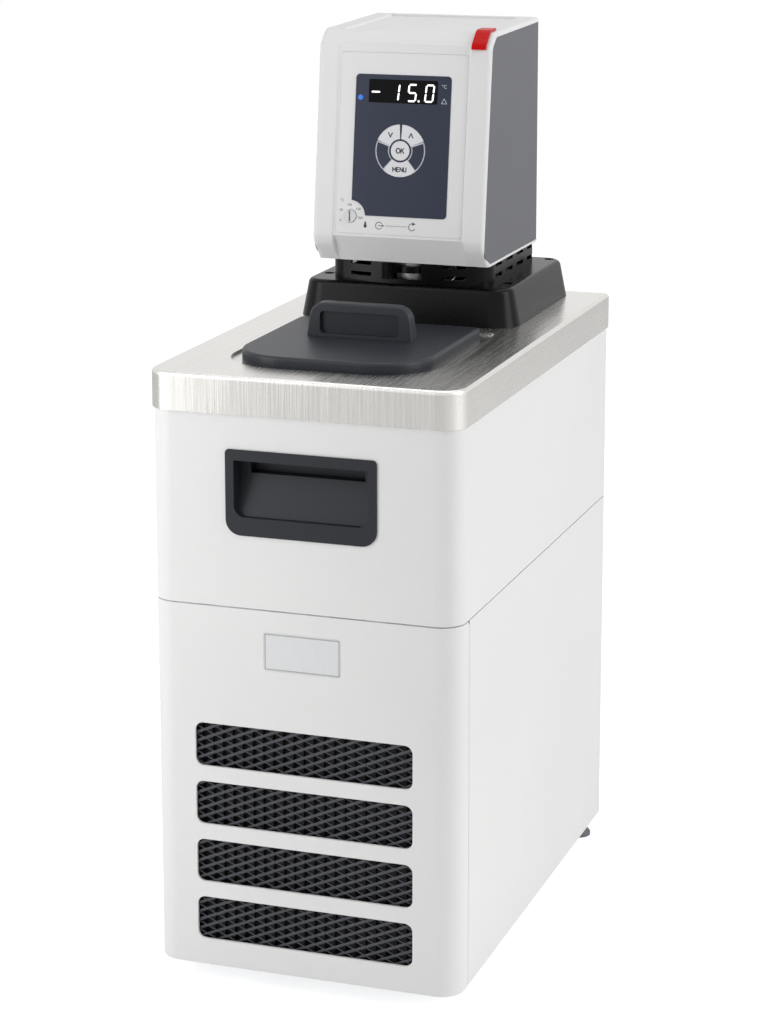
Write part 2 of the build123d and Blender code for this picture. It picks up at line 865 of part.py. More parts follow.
def slotted_neck():
    """Black neck between bridge and head, with two rows of air slots and the lever's window."""
    neck = slab(neck_plan(), neck_base, head_z) - slab(neck_plan(neck_wall), neck_base - 1, head_z + 1)
    half, deep = slot_length / 2, neck_width
    first = neck_rear_y - slot_pitch * 3.4
    for z in (neck_base + slot_low, neck_base + slot_high):
        for n in range(4):
            y = first + n * slot_pitch
            neck -= block(-deep, deep, y - half, y + half, z - slot_height / 2, z + slot_height / 2)
        for side in (-1, 1):
            x = side * (slot_length * 2 + lever_width / 2)
            neck -= block(x - half, x + half, neck_front_y - 5, pump_y, z - slot_height / 2, z + slot_height / 2)
    swing = math.degrees(lever_slot_margin / lever_radius) + math.degrees(lever_width / 2 / lever_radius)
    window = Pos(0, pump_y) * sector(lantern_r(), lever_radius * 2, -90 + lever_rest - swing,
                                     -90 + lever_rest + lever_travel + swing)
    return neck - slab(window, deck_z + lever_low - 0.6, deck_z + lever_high + 0.6)


def lantern_r():
    """Radius of the lantern tube that stands on the pump plate and carries the lever's ring."""
    return tube_r + 5


def flow_lever():
    """The flow lever: a ring on the lantern, an arm and a ribbed finger tab."""
    ring_z = deck_z + (lever_low + lever_high) / 2
    outer = lantern_r() + lever_ring_t * 2
    lever = post(outer, ring_z - lever_ring_t, ring_z + lever_ring_t)
    inner_tab = lever_radius - lever_depth
    half = lever_width / 2
    lever += block(-half, half, -inner_tab - 1, -lantern_r() - 1, ring_z - lever_ring_t, ring_z + lever_ring_t)
    lever += block(-half, half, -lever_radius + 0.8, -inner_tab, deck_z + lever_low, deck_z + lever_high)
    step = lever_width / (2 * lever_ribs - 1)
    for n in range(lever_ribs):
        x = -half + 2 * n * step
        lever += block(x, x + step, -lever_radius, -inner_tab, deck_z + lever_low, deck_z + lever_high)
    lever -= post(lantern_r() + shaft_fit, ring_z - 10, ring_z + 10)
    return Pos(0, pump_y, 0) * Rot(0, 0, lever_rest) * lever


def face_y(z, out=0.0):
    """Y of the plane that lies a distance outside the centre panel, at a height over the deck."""
    return panel_front_y + (z - panel_ref) * lean_tan - out / lean_cos


def over_deck(points):
    """A side outline in (y, height over the deck) as a face in (y, z)."""
    return Polygon(*[(y, deck_z + z) for y, z in points], align=None)


def round_at(face, y, z, radius):
    """Round the corner of a side outline that lies nearest to a point."""
    return fillet(face.vertices().sort_by_distance((y, deck_z + z, 0))[0], radius)


def head_profile():
    """The head from the side: chin, leaning front, brow, gently rising top, upright back."""
    chin = (face_y(head_chin_z, cheek_rise), head_chin_z)
    brow = (face_y(head_brow_z, cheek_rise), head_brow_z)
    face = over_deck([(head_chin_y, head_bottom), chin, brow, (head_brow_y, head_top_front),
                      (head_rear_y, head_top_rear), (head_rear_y, head_bottom)])
    face = round_at(face, *chin, head_chin_r)
    face = round_at(face, *brow, head_brow_r)
    return round_at(face, head_brow_y, head_top_front, head_brow_r)


def frame_profile():
    """The side panel's outline: the head's outline less the white frame strip."""
    chin_z = head_chin_z - 5
    chin = (face_y(chin_z, cheek_rise) + frame_strip, chin_z)
    brow = (face_y(head_brow_z, cheek_rise) + frame_strip, head_brow_z - 0.5)
    top = (head_brow_y + 1, head_top_front - frame_strip)
    face = over_deck([(head_chin_y + frame_strip, head_bottom + frame_bottom), chin, brow, top,
                      (head_rear_y + 1, head_top_rear - frame_strip),
                      (head_rear_y + 1, head_bottom + frame_bottom)])
    face = round_at(face, *chin, head_chin_r)
    face = round_at(face, *brow, head_brow_r - 1)
    return round_at(face, *top, head_brow_r - 1)


def cavity_profile(grow=0.0):
    """The hollow of the head cover, seen from the side."""
    return over_deck([(head_chin_y + 4, head_bottom + frame_bottom),
                      (face_y(head_chin_z + 6, -centre_wall), head_chin_z + 6),
                      (face_y(head_brow_z, -centre_wall), head_brow_z),
                      (head_brow_y + 1.5, head_top_front - frame_strip),
                      (head_rear_y + 1, head_top_rear - frame_strip),
                      (head_rear_y + 1, head_bottom + frame_bottom)])


def recess_cutter():
    """What is taken off the front and top between the cheeks, with sloped creases."""
    far = -20.0
    low = head_chin_z + 4.5
    brow_z = head_brow_z + 0.8
    top = head_top_front - top_recess_depth
    rise = (head_top_rear - head_top_front) / (head_rear_y - head_brow_y)
    rear_z = top + rise * (top_recess_rear_y - head_brow_y)
    profile = over_deck([(far, head_bottom - 5), (head_chin_y - 3.4, head_bottom - 5),
                         (head_chin_y, head_bottom), (face_y(low), low),
                         (face_y(brow_z), brow_z), (head_brow_y - 3, top),
                         (top_recess_rear_y, rear_z), (top_recess_rear_y, head_top_rear + 20),
                         (far, head_top_rear + 20)])
    cutter = side_prism(profile, panel_half + crease)
    sides = cutter.faces().filter_by(Axis.X)
    edges = [e for e in sides.edges() if on_recess_floor(e)]
    return chamfer(edges, crease)


def on_recess_floor(edge):
    """True for the cutter's side edges that lie on the centre panel, its bevels and the top."""
    middle = edge @ 0.5
    return (deck_z + head_bottom < middle.Z < deck_z + head_top_rear + 1
            and face_y(head_chin_z) < middle.Y < top_recess_rear_y - 1)


panel = Plane(origin=(0, panel_front_y, deck_z + panel_ref), x_dir=(1, 0, 0),
              z_dir=(0, -lean_cos, math.sin(math.radians(panel_lean))))


def up(z):
    """Distance along the leaning panel for a height over the deck."""
    return (z - panel_ref) / lean_cos


def on_panel(sketch, out0, out1):
    """A sketch on the panel raised between two distances outside its surface."""
    return extrude(panel.location * Pos(0, 0, out0) * sketch, amount=out1 - out0)


def panel_rect(half, low, high, radius, grow=0.0, x=0.0):
    """A rounded rectangle on the panel between two heights over the deck."""
    return Pos(x, (up(low) + up(high)) / 2) * RectangleRounded(2 * (half + grow),
                                                              up(high) - up(low) + 2 * grow, radius)


def head_cover():
    """White head cover: leaning front, top and a thin bottom edge in one moulded piece."""
    half = head_width / 2
    outer = side_prism(head_profile(), half)
    sides = [e for e in outer.faces().filter_by(Axis.X).edges()
             if (e @ 0.5).Y < head_rear_y - 1 and (e @ 0.5).Z > head_z + 1]
    outer = fillet(sides, head_edge_r)
    inner = half - side_inset - head_wall
    flank = side_prism(frame_profile(), half + 1) - side_prism(frame_profile(), inner)
    cover = outer - flank - side_prism(cavity_profile(), inner)
    cover -= recess_cutter()
    cover -= on_panel(panel_rect(fascia_half, fascia_low, fascia_high, fascia_r, fascia_fit), -10, 5)
    cover -= block(-head_opening_half, head_opening_half, head_opening_front_y,
                   head_rear_y + 1, head_z - 1, head_z + frame_bottom + eps)
    return cover - rocker_slot()


def rocker_slot():
    """The slot in the cover that the rocker's stem passes through."""
    half = rocker_stem_width / 2 + 0.5
    y0 = rocker_pivot_y - rocker_stem_depth / 2 - 2.5
    y1 = rocker_pivot_y + rocker_stem_depth / 2 + 2.5
    return block(rocker_x - half, rocker_x + half, y0, y1, deck_z + rocker_pivot_z, deck_z + head_top_rear + 5)


def head_housing():
    """Dark head housing: both side panels and the back, closing the white cover."""
    half = head_width / 2 - side_inset
    shape = side_prism(frame_profile(), half)
    shape &= block(-half, half, -deck_length, head_rear_y, 0, 2 * deck_z)
    shape -= block(head_wall - half, half - head_wall, -deck_length, head_rear_y - head_wall, 0, 2 * deck_z)
    shape -= inlet_opening()
    for n in range(6):
        z = deck_z + head_top_rear - 30 - n * 9
        shape -= block(-40, 40, head_rear_y - 5, head_rear_y + 5, z, z + 4)
    return shape


def inlet_opening():
    """Cut-out for the head's appliance inlet in the back of the housing."""
    z = deck_z + head_inlet_z
    return block(-inlet_width / 2, inlet_width / 2, head_rear_y - 5, head_rear_y + 5,
                 z - inlet_height / 2, z + inlet_height / 2)


def key_faces(clear=0.0):
    """The four keys as faces about the ring's centre, drawn out by a clearance."""
    def grown(a0, a1):
        turn = math.degrees(clear / ((key_inner_r + key_outer_r) / 2))
        return sector(key_inner_r - clear, key_outer_r + clear, a0 - turn, a1 + turn)

    return {"key_down": grown(93, 157), "key_up": grown(23, 87),
            "key_ok": Circle(key_disc_r + clear), "key_menu": grown(230, 310)}


def key_tab_face(name):
    """The hidden tab that keeps a key from falling out of its hole."""
    if name == "key_ok":
        return Rectangle(2 * disc_tab_half, disc_tab_height)
    angles = {"key_down": (93, 157), "key_up": (23, 87), "key_menu": (230, 310)}[name]
    return sector(key_outer_r - key_tab, key_outer_r + key_tab, *angles)


def key_place(sketch):
    """Move a sketch drawn about the ring's centre to its place on the panel."""
    return Pos(key_x, up(key_z)) * sketch


def key(name):
    """A key cap through the fascia, with its retaining tab behind."""
    back = -centre_wall - fascia_flange_t
    cap = on_panel(key_place(key_faces()[name]), back - key_seat - key_tab_t, key_proud)
    return cap + on_panel(key_place(key_tab_face(name)), back - key_seat - key_tab_t, back - key_seat)


def fascia():
    """White fascia plate let into the cover from behind, with holes for keys, display and dial."""
    back = -centre_wall - fascia_flange_t
    plate = on_panel(panel_rect(fascia_half, fascia_low, fascia_high, fascia_r), -centre_wall, 0)
    plate += on_panel(panel_rect(fascia_half + fascia_flange, fascia_low, fascia_high + fascia_flange,
                                 fascia_r), back, -centre_wall)
    for x in (-42, 42):
        for z in (fascia_low + 46, fascia_high - 20):
            plate += on_panel(Pos(x, up(z)) * Circle(2.5), back - board_gap, back)
    for face in key_faces(key_fit).values():
        plate -= on_panel(key_place(face), back - 1, 1)
    plate -= on_panel(window_rect(0), -window_seat, 1)
    plate -= on_panel(window_rect(-window_ledge), back - 1, 1)
    plate -= on_panel(Pos(dial_x, up(dial_z)) * Circle(dial_r + dial_fit), back - 1, 1)
    return plate - on_panel(Pos(led_x, up(led_z)) * Circle(led_r), back - 1, 1)


def window_rect(grow):
    """The display window's outline, drawn out by a margin."""
    return panel_rect(window_half, window_low, window_high, 1.2, grow)


def keypad_foil():
    """Dark foil on the fascia, cut round the keys, the display, the light and the dial."""
    foil = on_panel(panel_rect(foil_half, foil_low, foil_high, foil_r), 0, foil_t)
    for face in key_faces(key_fit).values():
        foil -= on_panel(key_place(face), -1, 1)
    foil -= on_panel(window_rect(0), -1, 1)
    foil -= on_panel(Pos(led_x, up(led_z)) * Circle(led_r), -1, 1)
    return foil - on_panel(Pos(dial_x, up(dial_z)) * Circle(dial_cut_r), -1, 1)


def display_window():
    """Smoked window over the display."""
    return on_panel(window_rect(-0.05), -window_seat, window_t)


def board_out():
    """Front face of the control board, as a distance outside the panel."""
    return -centre_wall - fascia_flange_t - board_gap


def display_block():
    """Display block on the control board, behind the window."""
    block_face = window_rect(-window_ledge - key_fit)
    return on_panel(block_face, board_out() - board_t / 2, -window_seat - key_fit)


def status_light():
    """Small light guide through the fascia and the foil."""
    return on_panel(Pos(led_x, up(led_z)) * Circle(led_r - 0.05), board_out(), foil_t + 0.2)


def control_board():
    """Control board behind the fascia, with a switch block under each key."""
    out = board_out()
    face = panel_rect(45, fascia_low + 40, fascia_high - 14, 1.5)
    face += panel_rect(10, fascia_low + 4, fascia_low + 42, 1.5, 0, -36)
    board = on_panel(face, out - board_t, out)
    height = -centre_wall - fascia_flange_t - key_seat - key_tab_t - key_travel - 0.1
    middle = (key_inner_r + key_outer_r) / 2
    places = [(0, 0)] + [(middle * math.cos(math.radians(a)), middle * math.sin(math.radians(a)))
                         for a in (55, 125, 270)]
    for x, y in places:
        board += on_panel(key_place(Pos(x, y) * Rectangle(5, 5)), out, height)
    return board + display_block() + dial_potentiometer()


def cutout_dial():
    """Slotted cut-out dial with its stem."""
    face = Pos(dial_x, up(dial_z)) * Circle(dial_r)
    dial = on_panel(face, -centre_wall - fascia_flange_t, dial_proud)
    dial += on_panel(Pos(dial_x, up(dial_z)) * Circle(dial_stem_r), board_out() + 1, 0)
    slot = Pos(dial_x, up(dial_z)) * Rectangle(dial_slot, 2 * dial_r - 1.6)
    return dial - on_panel(slot, dial_proud - 1, dial_proud + 1)


def dial_potentiometer():
    """The part on the board that the dial's stem turns."""
    face = Pos(dial_x, up(dial_z)) * (Rectangle(11, 11) - Circle(dial_stem_r + shaft_fit))
    return on_panel(face, board_out() - board_t / 2, board_out() + 3.5)


def rocker_cap_region():
    """Where the rocker's cap reaches: over the brow, from the front face to the top."""
    half = rocker_width / 2
    return block(rocker_x - half, rocker_x + half, 0, rocker_rear_y, deck_z + rocker_low,
                 deck_z + head_top_rear + 20)


def power_rocker():
    """Red rocker cap curved over the head's brow, with its stem and cross pin."""
    cap = side_prism(offset(head_profile(), rocker_gap + rocker_t), head_width)
    cap -= side_prism(offset(head_profile(), rocker_gap), head_width)
    cap &= rocker_cap_region()
    half = rocker_stem_width / 2
    y0 = rocker_pivot_y - rocker_stem_depth / 2
    stem = block(rocker_x - half, rocker_x + half, y0, y0 + rocker_stem_depth,
                 deck_z + rocker_pivot_z - 3, deck_z + head_top_rear + 20)
    stem &= side_prism(offset(head_profile(), rocker_gap + rocker_t / 2), head_width)
    pin = Pos(rocker_x, rocker_pivot_y, deck_z + rocker_pivot_z) * Rot(0, 90, 0) * Cylinder(
        rocker_pin_r, rocker_width)
    return cap + stem + pin


def rocker_body():
    """Switch body under the head's brow, with the bearing for the rocker's pin."""
    inner = head_width / 2 - side_inset - head_wall
    x0 = rocker_x - rocker_width / 2 - 0.6
    y0, y1 = rocker_pivot_y - 7.5, rocker_pivot_y + 8
    body = block(x0, inner, y0, y1, deck_z + rocker_body_low, deck_z + head_top_rear)
    body &= side_prism(cavity_profile(), inner)
    half = rocker_stem_width / 2 + shaft_fit * 4
    body -= block(rocker_x - half, rocker_x + half, y0 - 1, y1 + 1, deck_z + rocker_pivot_z - 7,
                  deck_z + head_top_rear + 5)
    pin = Pos(rocker_x, rocker_pivot_y, deck_z + rocker_pivot_z) * Rot(0, 90, 0)
    return body - pin * Cylinder(rocker_pin_r + shaft_fit, rocker_width + 0.4)


def motor_plate():
    """Plate in the head's foot that carries the motor."""
    low = head_z + frame_bottom
    inner = head_width / 2 - side_inset - head_wall
    plate = block(-inner + 1, inner - 1, head_opening_front_y - 4, head_rear_y - head_wall - 1,
                  low, low + motor_plate_t)
    return plate - post(shaft_r + 1, low - 1, low + motor_plate_t + 1, 0, pump_y)


def motor_base():
    """Height of the motor's foot."""
    return head_z + frame_bottom + motor_plate_t


def pump_motor():
    """Upright motor with a bore for the pump shaft."""
    base = motor_base()
    motor = post(motor_r, base, base + motor_height, 0, pump_y)
    motor += post(motor_r * 0.4, base + motor_height, base + motor_height + 5, 0, pump_y)
    return motor - post(shaft_r + shaft_fit, base - 1, base + motor_height / 2, 0, pump_y)


def pump_plate():
    """Plate over the pump opening that the pump, heater and sensors hang from."""
    plate = block(-plate_half, plate_half, plate_front_y, plate_rear_y, deck_z, deck_z + plate_t)
    gap = 0.2
    holes = [(0, pump_y, shaft_r + 1), (probe_x, sensor_y, probe_r + gap),
             (float_x, sensor_y, float_rod_r + gap)]
    holes += [(side * heater_half, heater_y, heater_r + gap) for side in (-1, 1)]
    holes += [(x, y, delivery_r + gap) for x, y in riser_places()]
    for x, y, radius in holes:
        plate -= post(radius, deck_z - 1, deck_z + plate_t + 1, x, y)
    return plate


def riser_places():
    """Where the delivery pipe and the return pipe pass the pump plate."""
    off = tube_r + delivery_r + riser_gap
    across, back = off * math.cos(math.radians(riser_angle)), off * math.sin(math.radians(riser_angle))
    return [(across, pump_y + back), (-across, pump_y + back)]


def pump_lantern():
    """Short tube from the pump plate to the motor plate, with a shoulder under the lever's ring."""
    ring_z = deck_z + (lever_low + lever_high) / 2 - lever_ring_t
    lantern = post(lantern_r(), deck_z + plate_t, head_z + frame_bottom, 0, pump_y)
    lantern += post(lantern_r() + 1.6, ring_z - 2, ring_z - 0.2, 0, pump_y)
    lantern -= post(lantern_r() - 3, deck_z, head_z + 10, 0, pump_y)
    for x, y in riser_places():
        lantern -= post(delivery_r + riser_gap, deck_z, deck_z + nipple_z + 3 * delivery_r, x, y)
    return lantern


def tube_body():
    """Tube that hangs from the pump plate."""
    body = post(tube_r, deck_z + chamber_top, deck_z, 0, pump_y)
    body += post(tube_r + riser_gap / 2, deck_z - 2, deck_z, 0, pump_y)
    return body - post(tube_r - tube_wall, deck_z + chamber_top - 1, deck_z + 1, 0, pump_y)


def shaft_bush():
    """Bush at the lower end of the pump tube."""
    low = deck_z + chamber_top
    bush = post(tube_r - tube_wall, low, low + bush_length, 0, pump_y)
    return bush - post(shaft_r + shaft_fit, low - 1, low + bush_length + 1, 0, pump_y)


def chamber_body():
    """Round pump chamber with its inlet below and its delivery port above."""
    top = deck_z + chamber_top
    low = top - chamber_height
    chamber = post(chamber_r, low, top, 0, pump_y)
    chamber -= post(chamber_r - chamber_wall, low + chamber_wall, top - chamber_wall, 0, pump_y)
    chamber -= post(chamber_inlet_r, low - 1, low + chamber_wall + 1, 0, pump_y)
    chamber -= post(shaft_r + 0.4, top - chamber_wall - 1, top + 1, 0, pump_y)
    x, y = riser_places()[0]
    return chamber - post(delivery_r - 2, top - chamber_wall - 1, top + 1, x, y)


def pump_tube():
    """The welded tube and chamber of the immersed pump."""
    return tube_body() + chamber_body()


def pump_shaft():
    """Shaft from the motor down to the impeller."""
    low = deck_z + chamber_top - chamber_height + chamber_wall + 3
    return post(shaft_r, low, motor_base() + motor_height / 2 - 2, 0, pump_y)


def impeller():
    """Open impeller: hub, disc and straight vanes."""
    low = deck_z + chamber_top - chamber_height + chamber_wall + 4
    wheel = post(impeller_hub_r, low, low + impeller_height)
    wheel += post(impeller_r, low + impeller_height - 1.5, low + impeller_height)
    for n in range(vane_count):
        vane = block(impeller_hub_r - 1, impeller_r - 0.4, -vane_t / 2, vane_t / 2, low,
                     low + impeller_height - 1)
        wheel += Rot(0, 0, 360 / vane_count * n) * vane
    wheel -= post(shaft_r, low - 1, low + impeller_height + 1)
    return Pos(0, pump_y, 0) * wheel


def heater_coil():
    """Tubular heater: down one side, under the pump and up the other."""
    low = tank_floor + heater_floor_gap
    high = deck_z + 8
    points = [(-heater_half, heater_y, high), (-heater_half, heater_y, low),
              (heater_half, heater_y, low), (heater_half, heater_y, high)]
    return tube(points, heater_r, 14)


def temperature_probe():
    """Temperature probe that hangs from the pump plate."""
    return post(probe_r, deck_z - probe_length, deck_z + 6, probe_x, sensor_y)


def float_rod():
    """Guide rod of the level float, with a stop at its foot."""
    low = deck_z - float_rod_length
    rod = post(float_rod_r, low, deck_z + 6, float_x, sensor_y)
    return rod + post(float_rod_r + 2.5, low, low + 2, float_x, sensor_y)


def level_float():
    """Level float, resting on its stop while the bath is empty."""
    low = deck_z - float_rod_length + 2.2
    body = post(float_r, low, low + float_height, float_x, sensor_y)
    return body - post(float_rod_r + 0.1, low - 1, low + float_height + 1, float_x, sensor_y)


def bath_pipe(side, x, y, low):
    """A pipe from the bath up through the pump plate and back to a nipple."""
    z = deck_z + nipple_z
    points = [(x, y, low), (x, y, z), (side * nipple_x, pump_y + 55, z),
              (side * nipple_x, nipple_start_y(), z)]
    return tube(points, delivery_r, 9)


def nipple_start_y():
    """Where the pipes end and the nipples begin, just inside the bridge's back wall."""
    return bridge_rear_y - 12


def bath_pipes():
    """The delivery pipe from the pump chamber and the return pipe into the bath."""
    (x0, y0), (x1, y1) = riser_places()
    delivery = bath_pipe(1, x0, y0, deck_z + chamber_top)
    return Compound(children=[delivery, bath_pipe(-1, x1, y1, deck_z - return_depth)])


def pump_nipples():
    """The two hose nipples that stand out of the back of the bridge."""
    z = deck_z + nipple_z
    nipples = []
    for side in (-1, 1):
        x = side * nipple_x
        nipple = bar_y(nipple_r, nipple_start_y(), nipple_end_y, x, z)
        nipple += bar_y(nipple_collar_r, nipple_start_y(), nipple_collar_y, x, z)
        nipples.append(nipple - bar_y(nipple_bore_r, nipple_start_y() + 2, nipple_end_y + 1, x, z))
    return Compound(children=nipples)


def condenser_front():
    """Front face of the condenser, behind the vent mesh."""
    return cabinet_front + cover_wall + mesh_sheet + condenser_front_gap


def condenser_core():
    """Finned condenser block: grooves between the fins on both faces."""
    y0, z0 = condenser_front(), foot_height + condenser_low
    y1, z1 = y0 + condenser_depth, z0 + condenser_height
    core = Pos(0, (y0 + y1) / 2) * Rectangle(2 * condenser_half, condenser_depth)
    pitch = 2 * condenser_half / fin_count
    grooves = [Pos(-condenser_half + (n + 0.5) * pitch, y) * Rectangle(fin_gap, 2 * fin_depth)
               for n in range(fin_count) for y in (y0, y1)]
    return slab(core - grooves, z0, z1)


def condenser_headers():
    """Upright header pipes at the condenser's two ends."""
    y = condenser_front() + condenser_depth / 2
    z0 = foot_height + pan_sheet
    return [post(header_r, z0, header_top(), side * header_x(), y) for side in (-1, 1)]


def header_top():
    """Height of the header pipes' upper ends."""
    return foot_height + condenser_low + condenser_height + 8


def header_x():
    """Distance of the condenser's header pipes from the middle."""
    return condenser_half + header_r - 2


def condenser():
    """The brazed condenser: finned block and two headers."""
    block_and_headers = condenser_core()
    for header in condenser_headers():
        block_and_headers += header
    return block_and_headers


def shroud_front():
    """Front face of the fan shroud, against the condenser."""
    return condenser_front() + condenser_depth


def fan_centre():
    """The fan's axis: its place across and its height."""
    return 0.0, foot_height + condenser_low + condenser_height / 2


def fan_shroud():
    """Sheet shroud with a round throat, standing on the base pan."""
    x, z = fan_centre()
    y0 = shroud_front()
    low, high = foot_height + pan_sheet, foot_height + condenser_low + condenser_height
    shroud = block(-shroud_half, shroud_half, y0, y0 + shroud_t, low, high)
    shroud += bar_y(fan_r + fan_tip_gap + shroud_t, y0, y0 + shroud_depth, x, z)
    return shroud - bar_y(fan_r + fan_tip_gap, y0 - 1, y0 + shroud_depth + 1, x, z)


def fan_hub_y():
    """Front face of the fan's hub."""
    return shroud_front() + 3


def fan_blades():
    """Fan wheel: a hub and pitched blades on a short shaft."""
    x, z = fan_centre()
    y0 = fan_hub_y()
    wheel = post(fan_hub_r, 0, fan_hub_depth)
    for n in range(blade_count):
        blade = Rot(0, 0, 360 / blade_count * n) * Pos((fan_hub_r + fan_r) / 2, 0, fan_hub_depth / 2) * (
            Rot(blade_pitch, 0, 0) * Box(fan_r - fan_hub_r + 8, blade_chord, blade_t))
        wheel += blade
    wheel &= post(fan_r, -20, 40)
    wheel += post(fan_shaft_r, fan_hub_depth, fan_hub_depth + fan_motor_gap + 12)
    return Pos(x, y0, z) * Rot(-90, 0, 0) * wheel


def fan_motor_y():
    """Front face of the fan motor."""
    return fan_hub_y() + fan_hub_depth + fan_motor_gap


def fan_motor():
    """Fan motor with a bore for the fan's shaft."""
    x, z = fan_centre()
    y0 = fan_motor_y()
    motor = bar_y(fan_motor_r, y0, y0 + fan_motor_depth, x, z)
    return motor - bar_y(fan_shaft_r + shaft_fit, y0 - 1, y0 + 14, x, z) + fan_bracket()


def fan_bracket():
    """Bracket from the base pan that holds the fan motor."""
    x, z = fan_centre()
    y = fan_motor_y() + fan_motor_depth
    low = foot_height + pan_sheet
    bracket = block(x - 20, x + 20, y, y + 2, low, z + fan_motor_r)
    return bracket + block(x - 20, x + 20, y, y + 24, low, low + 2)


def compressor():
    """Hermetic compressor: a can with chamfered ends, a weld band and a foot plate."""
    z0 = foot_height + pan_sheet + compressor_lift
    z1 = z0 + compressor_height
    dome, r = compressor_dome, compressor_r
    profile = Polyline((0, z0), (r - 14, z0), (r, z0 + dome / 2), (r, z1 - dome), (r - 8, z1 - dome / 2),
                       (r - 26, z1), (0, z1), close=True)
    can = revolve(Plane.XZ * make_face(profile), Axis.Z)
    band = z0 + compressor_height * 0.55
    can += post(r + compressor_band, band, band + 3)
    foot = block(-mount_spread_x - 10, mount_spread_x + 10, -mount_spread_y - 10, mount_spread_y + 10,
                 z0 - 3, z0)
    return Pos(compressor_x, compressor_y, 0) * (can + foot) + compressor_terminals()


def compressor_mounts():
    """Rubber mounts between the compressor's foot plate and the base pan."""
    low = foot_height + pan_sheet
    high = low + compressor_lift - 3
    return Compound(children=[post(mount_r, low, high, compressor_x + sx * mount_spread_x,
                                   compressor_y + sy * mount_spread_y)
                              for sx in (-1, 1) for sy in (-1, 1)])


def compressor_terminals():
    """Terminal box on the side of the compressor."""
    dx, dy, dz = terminal_box
    z = foot_height + pan_sheet + compressor_lift + 40
    x0 = compressor_x + compressor_r - 6
    return block(x0, x0 + dx, compressor_y - dy / 2, compressor_y + dy / 2, z, z + dz)


def compressor_top():
    """Height of the compressor's shoulder, where its pipes leave."""
    return foot_height + pan_sheet + compressor_lift + compressor_height


def hot_gas_pipe():
    """From the compressor's top to the condenser's right header."""
    low = header_top()
    z = low + 15
    y = condenser_front() + condenser_depth / 2
    x = compressor_x + 14
    points = [(x, compressor_y, compressor_top()), (x, compressor_y, z), (header_x(), y, z),
              (header_x(), y, low)]
    return tube(points, pipe_r, 14)


def filter_dryer():
    """Filter dryer beside the compressor, upright."""
    low = header_top()
    x, y = -header_x(), condenser_front() + condenser_depth / 2
    end = dryer_r * 0.4
    profile = Polyline((0, 0), (end, 0), (dryer_r, 8), (dryer_r, dryer_length - 30), (end, dryer_length - 22),
                       (0, dryer_length - 22), close=True)
    return Pos(x, y, low) * revolve(Plane.XZ * make_face(profile), Axis.Z)


def liquid_pipe():
    """From the filter dryer up and back to the evaporator's upper end."""
    low = header_top() + dryer_length - 22
    x0, y0 = -header_x(), condenser_front() + condenser_depth / 2
    x1, z1 = coil_ends()[1]
    z = seam_z - 8
    x_side = -tank_width / 2 - foam_side - tank_wall - 8
    points = [(x0, y0, low), (x0, y0, z), (x1, coil_end_y, z), (x1, coil_end_y, z1 - coil_r)]
    return tube(points, pipe_r - 1, 8)


def suction_pipe():
    """From the evaporator's lower end down to the compressor's top."""
    x1, z1 = coil_ends()[0]
    z = compressor_top() + 40
    x0 = compressor_x - 20
    points = [(x1, coil_end_y, z1 - coil_r), (x1, coil_end_y, z), (x0, compressor_y, z),
              (x0, compressor_y, compressor_top())]
    return tube(points, pipe_r + 0.5, 14)


def refrigerant_pipes():
    """The three copper pipes of the cooling circuit."""
    return Compound(children=[hot_gas_pipe(), liquid_pipe(), suction_pipe()])


def drain_pipe():
    """From the tank's drain outlet forward and down to the drain valve."""
    z = drain_outlet_z()
    y = drain_face_y + drain_body / 2
    points = [(0, tank_front_y + tank_wall, z), (0, y, z), (0, y, foot_height + drain_z - 30 + 60),
              (drain_x, y, foot_height + drain_z + 24), (drain_x, y, foot_height + drain_z + drain_body / 2)]
    return tube(points, drain_r - 1.5, 7)


def drain_valve():
    """Drain cock behind the front cover: body, outlet spout and a bore for the knob's stem."""
    z = foot_height + drain_z
    half = drain_body / 2
    y = drain_face_y + half
    body = block(drain_x - half, drain_x + half, drain_face_y, drain_face_y + drain_body, z - half, z + half)
    body += post(drain_r, z - half - 16, z - half, drain_x, y)
    body -= bar_y(drain_r - 2 + shaft_fit, drain_face_y - 1, drain_face_y + half, drain_x, z)
    return body + drain_bracket()


def drain_knob():
    """Quarter-turn knob of the drain cock."""
    z = foot_height + drain_z
    y1 = drain_face_y - 0.3
    knob = bar_y(drain_knob_r * 0.55, y1 - drain_knob_t, y1, drain_x, z)
    knob += block(drain_x - drain_knob_r, drain_x + drain_knob_r, y1 - drain_knob_t, y1 - 2, z - 3, z + 3)
    return knob + bar_y(drain_r - 2, y1, drain_face_y + drain_body / 2 - 1, drain_x, z)


def drain_bracket():
    """Sheet bracket that hangs the drain cock from the mid shelf."""
    half = drain_body / 2
    y = drain_face_y + drain_body
    return block(drain_x - half, drain_x + half, y, y + 1.5, foot_height + drain_z - half, seam_z)


def rear_grille():
    """Slotted grille plate inside the opening in the back."""
    low, high = foot_height + grille_low, foot_height + grille_high
    y = cabinet_rear - cabinet_wall
    plate = Pos(0, (low + high) / 2) * Rectangle(2 * grille_half, high - low)
    pitch = (high - low - 2 * grille_margin) / grille_slots
    slots = [Pos(0, low + grille_margin + (n + 0.5) * pitch) * RectangleRounded(
        2 * (grille_half - grille_margin) - 6, grille_slot_height, grille_slot_height / 2 - 0.1)
        for n in range(grille_slots)]
    plane = Plane(origin=(0, y - 1, 0), x_dir=(-1, 0, 0), z_dir=(0, 1, 0))
    return extrude(plane * (plate - slots), amount=1)


def grille_screws():
    """The screws at the corners of the rear grille."""
    y = cabinet_rear
    screws = []
    for x in (-grille_half + 4, grille_half - 4):
        for z in (foot_height + grille_low + 4, foot_height + grille_high - 4):
            screws.append(bar_y(cover_screw_r - 0.6, y, y + 0.9, x, z))
    return screws


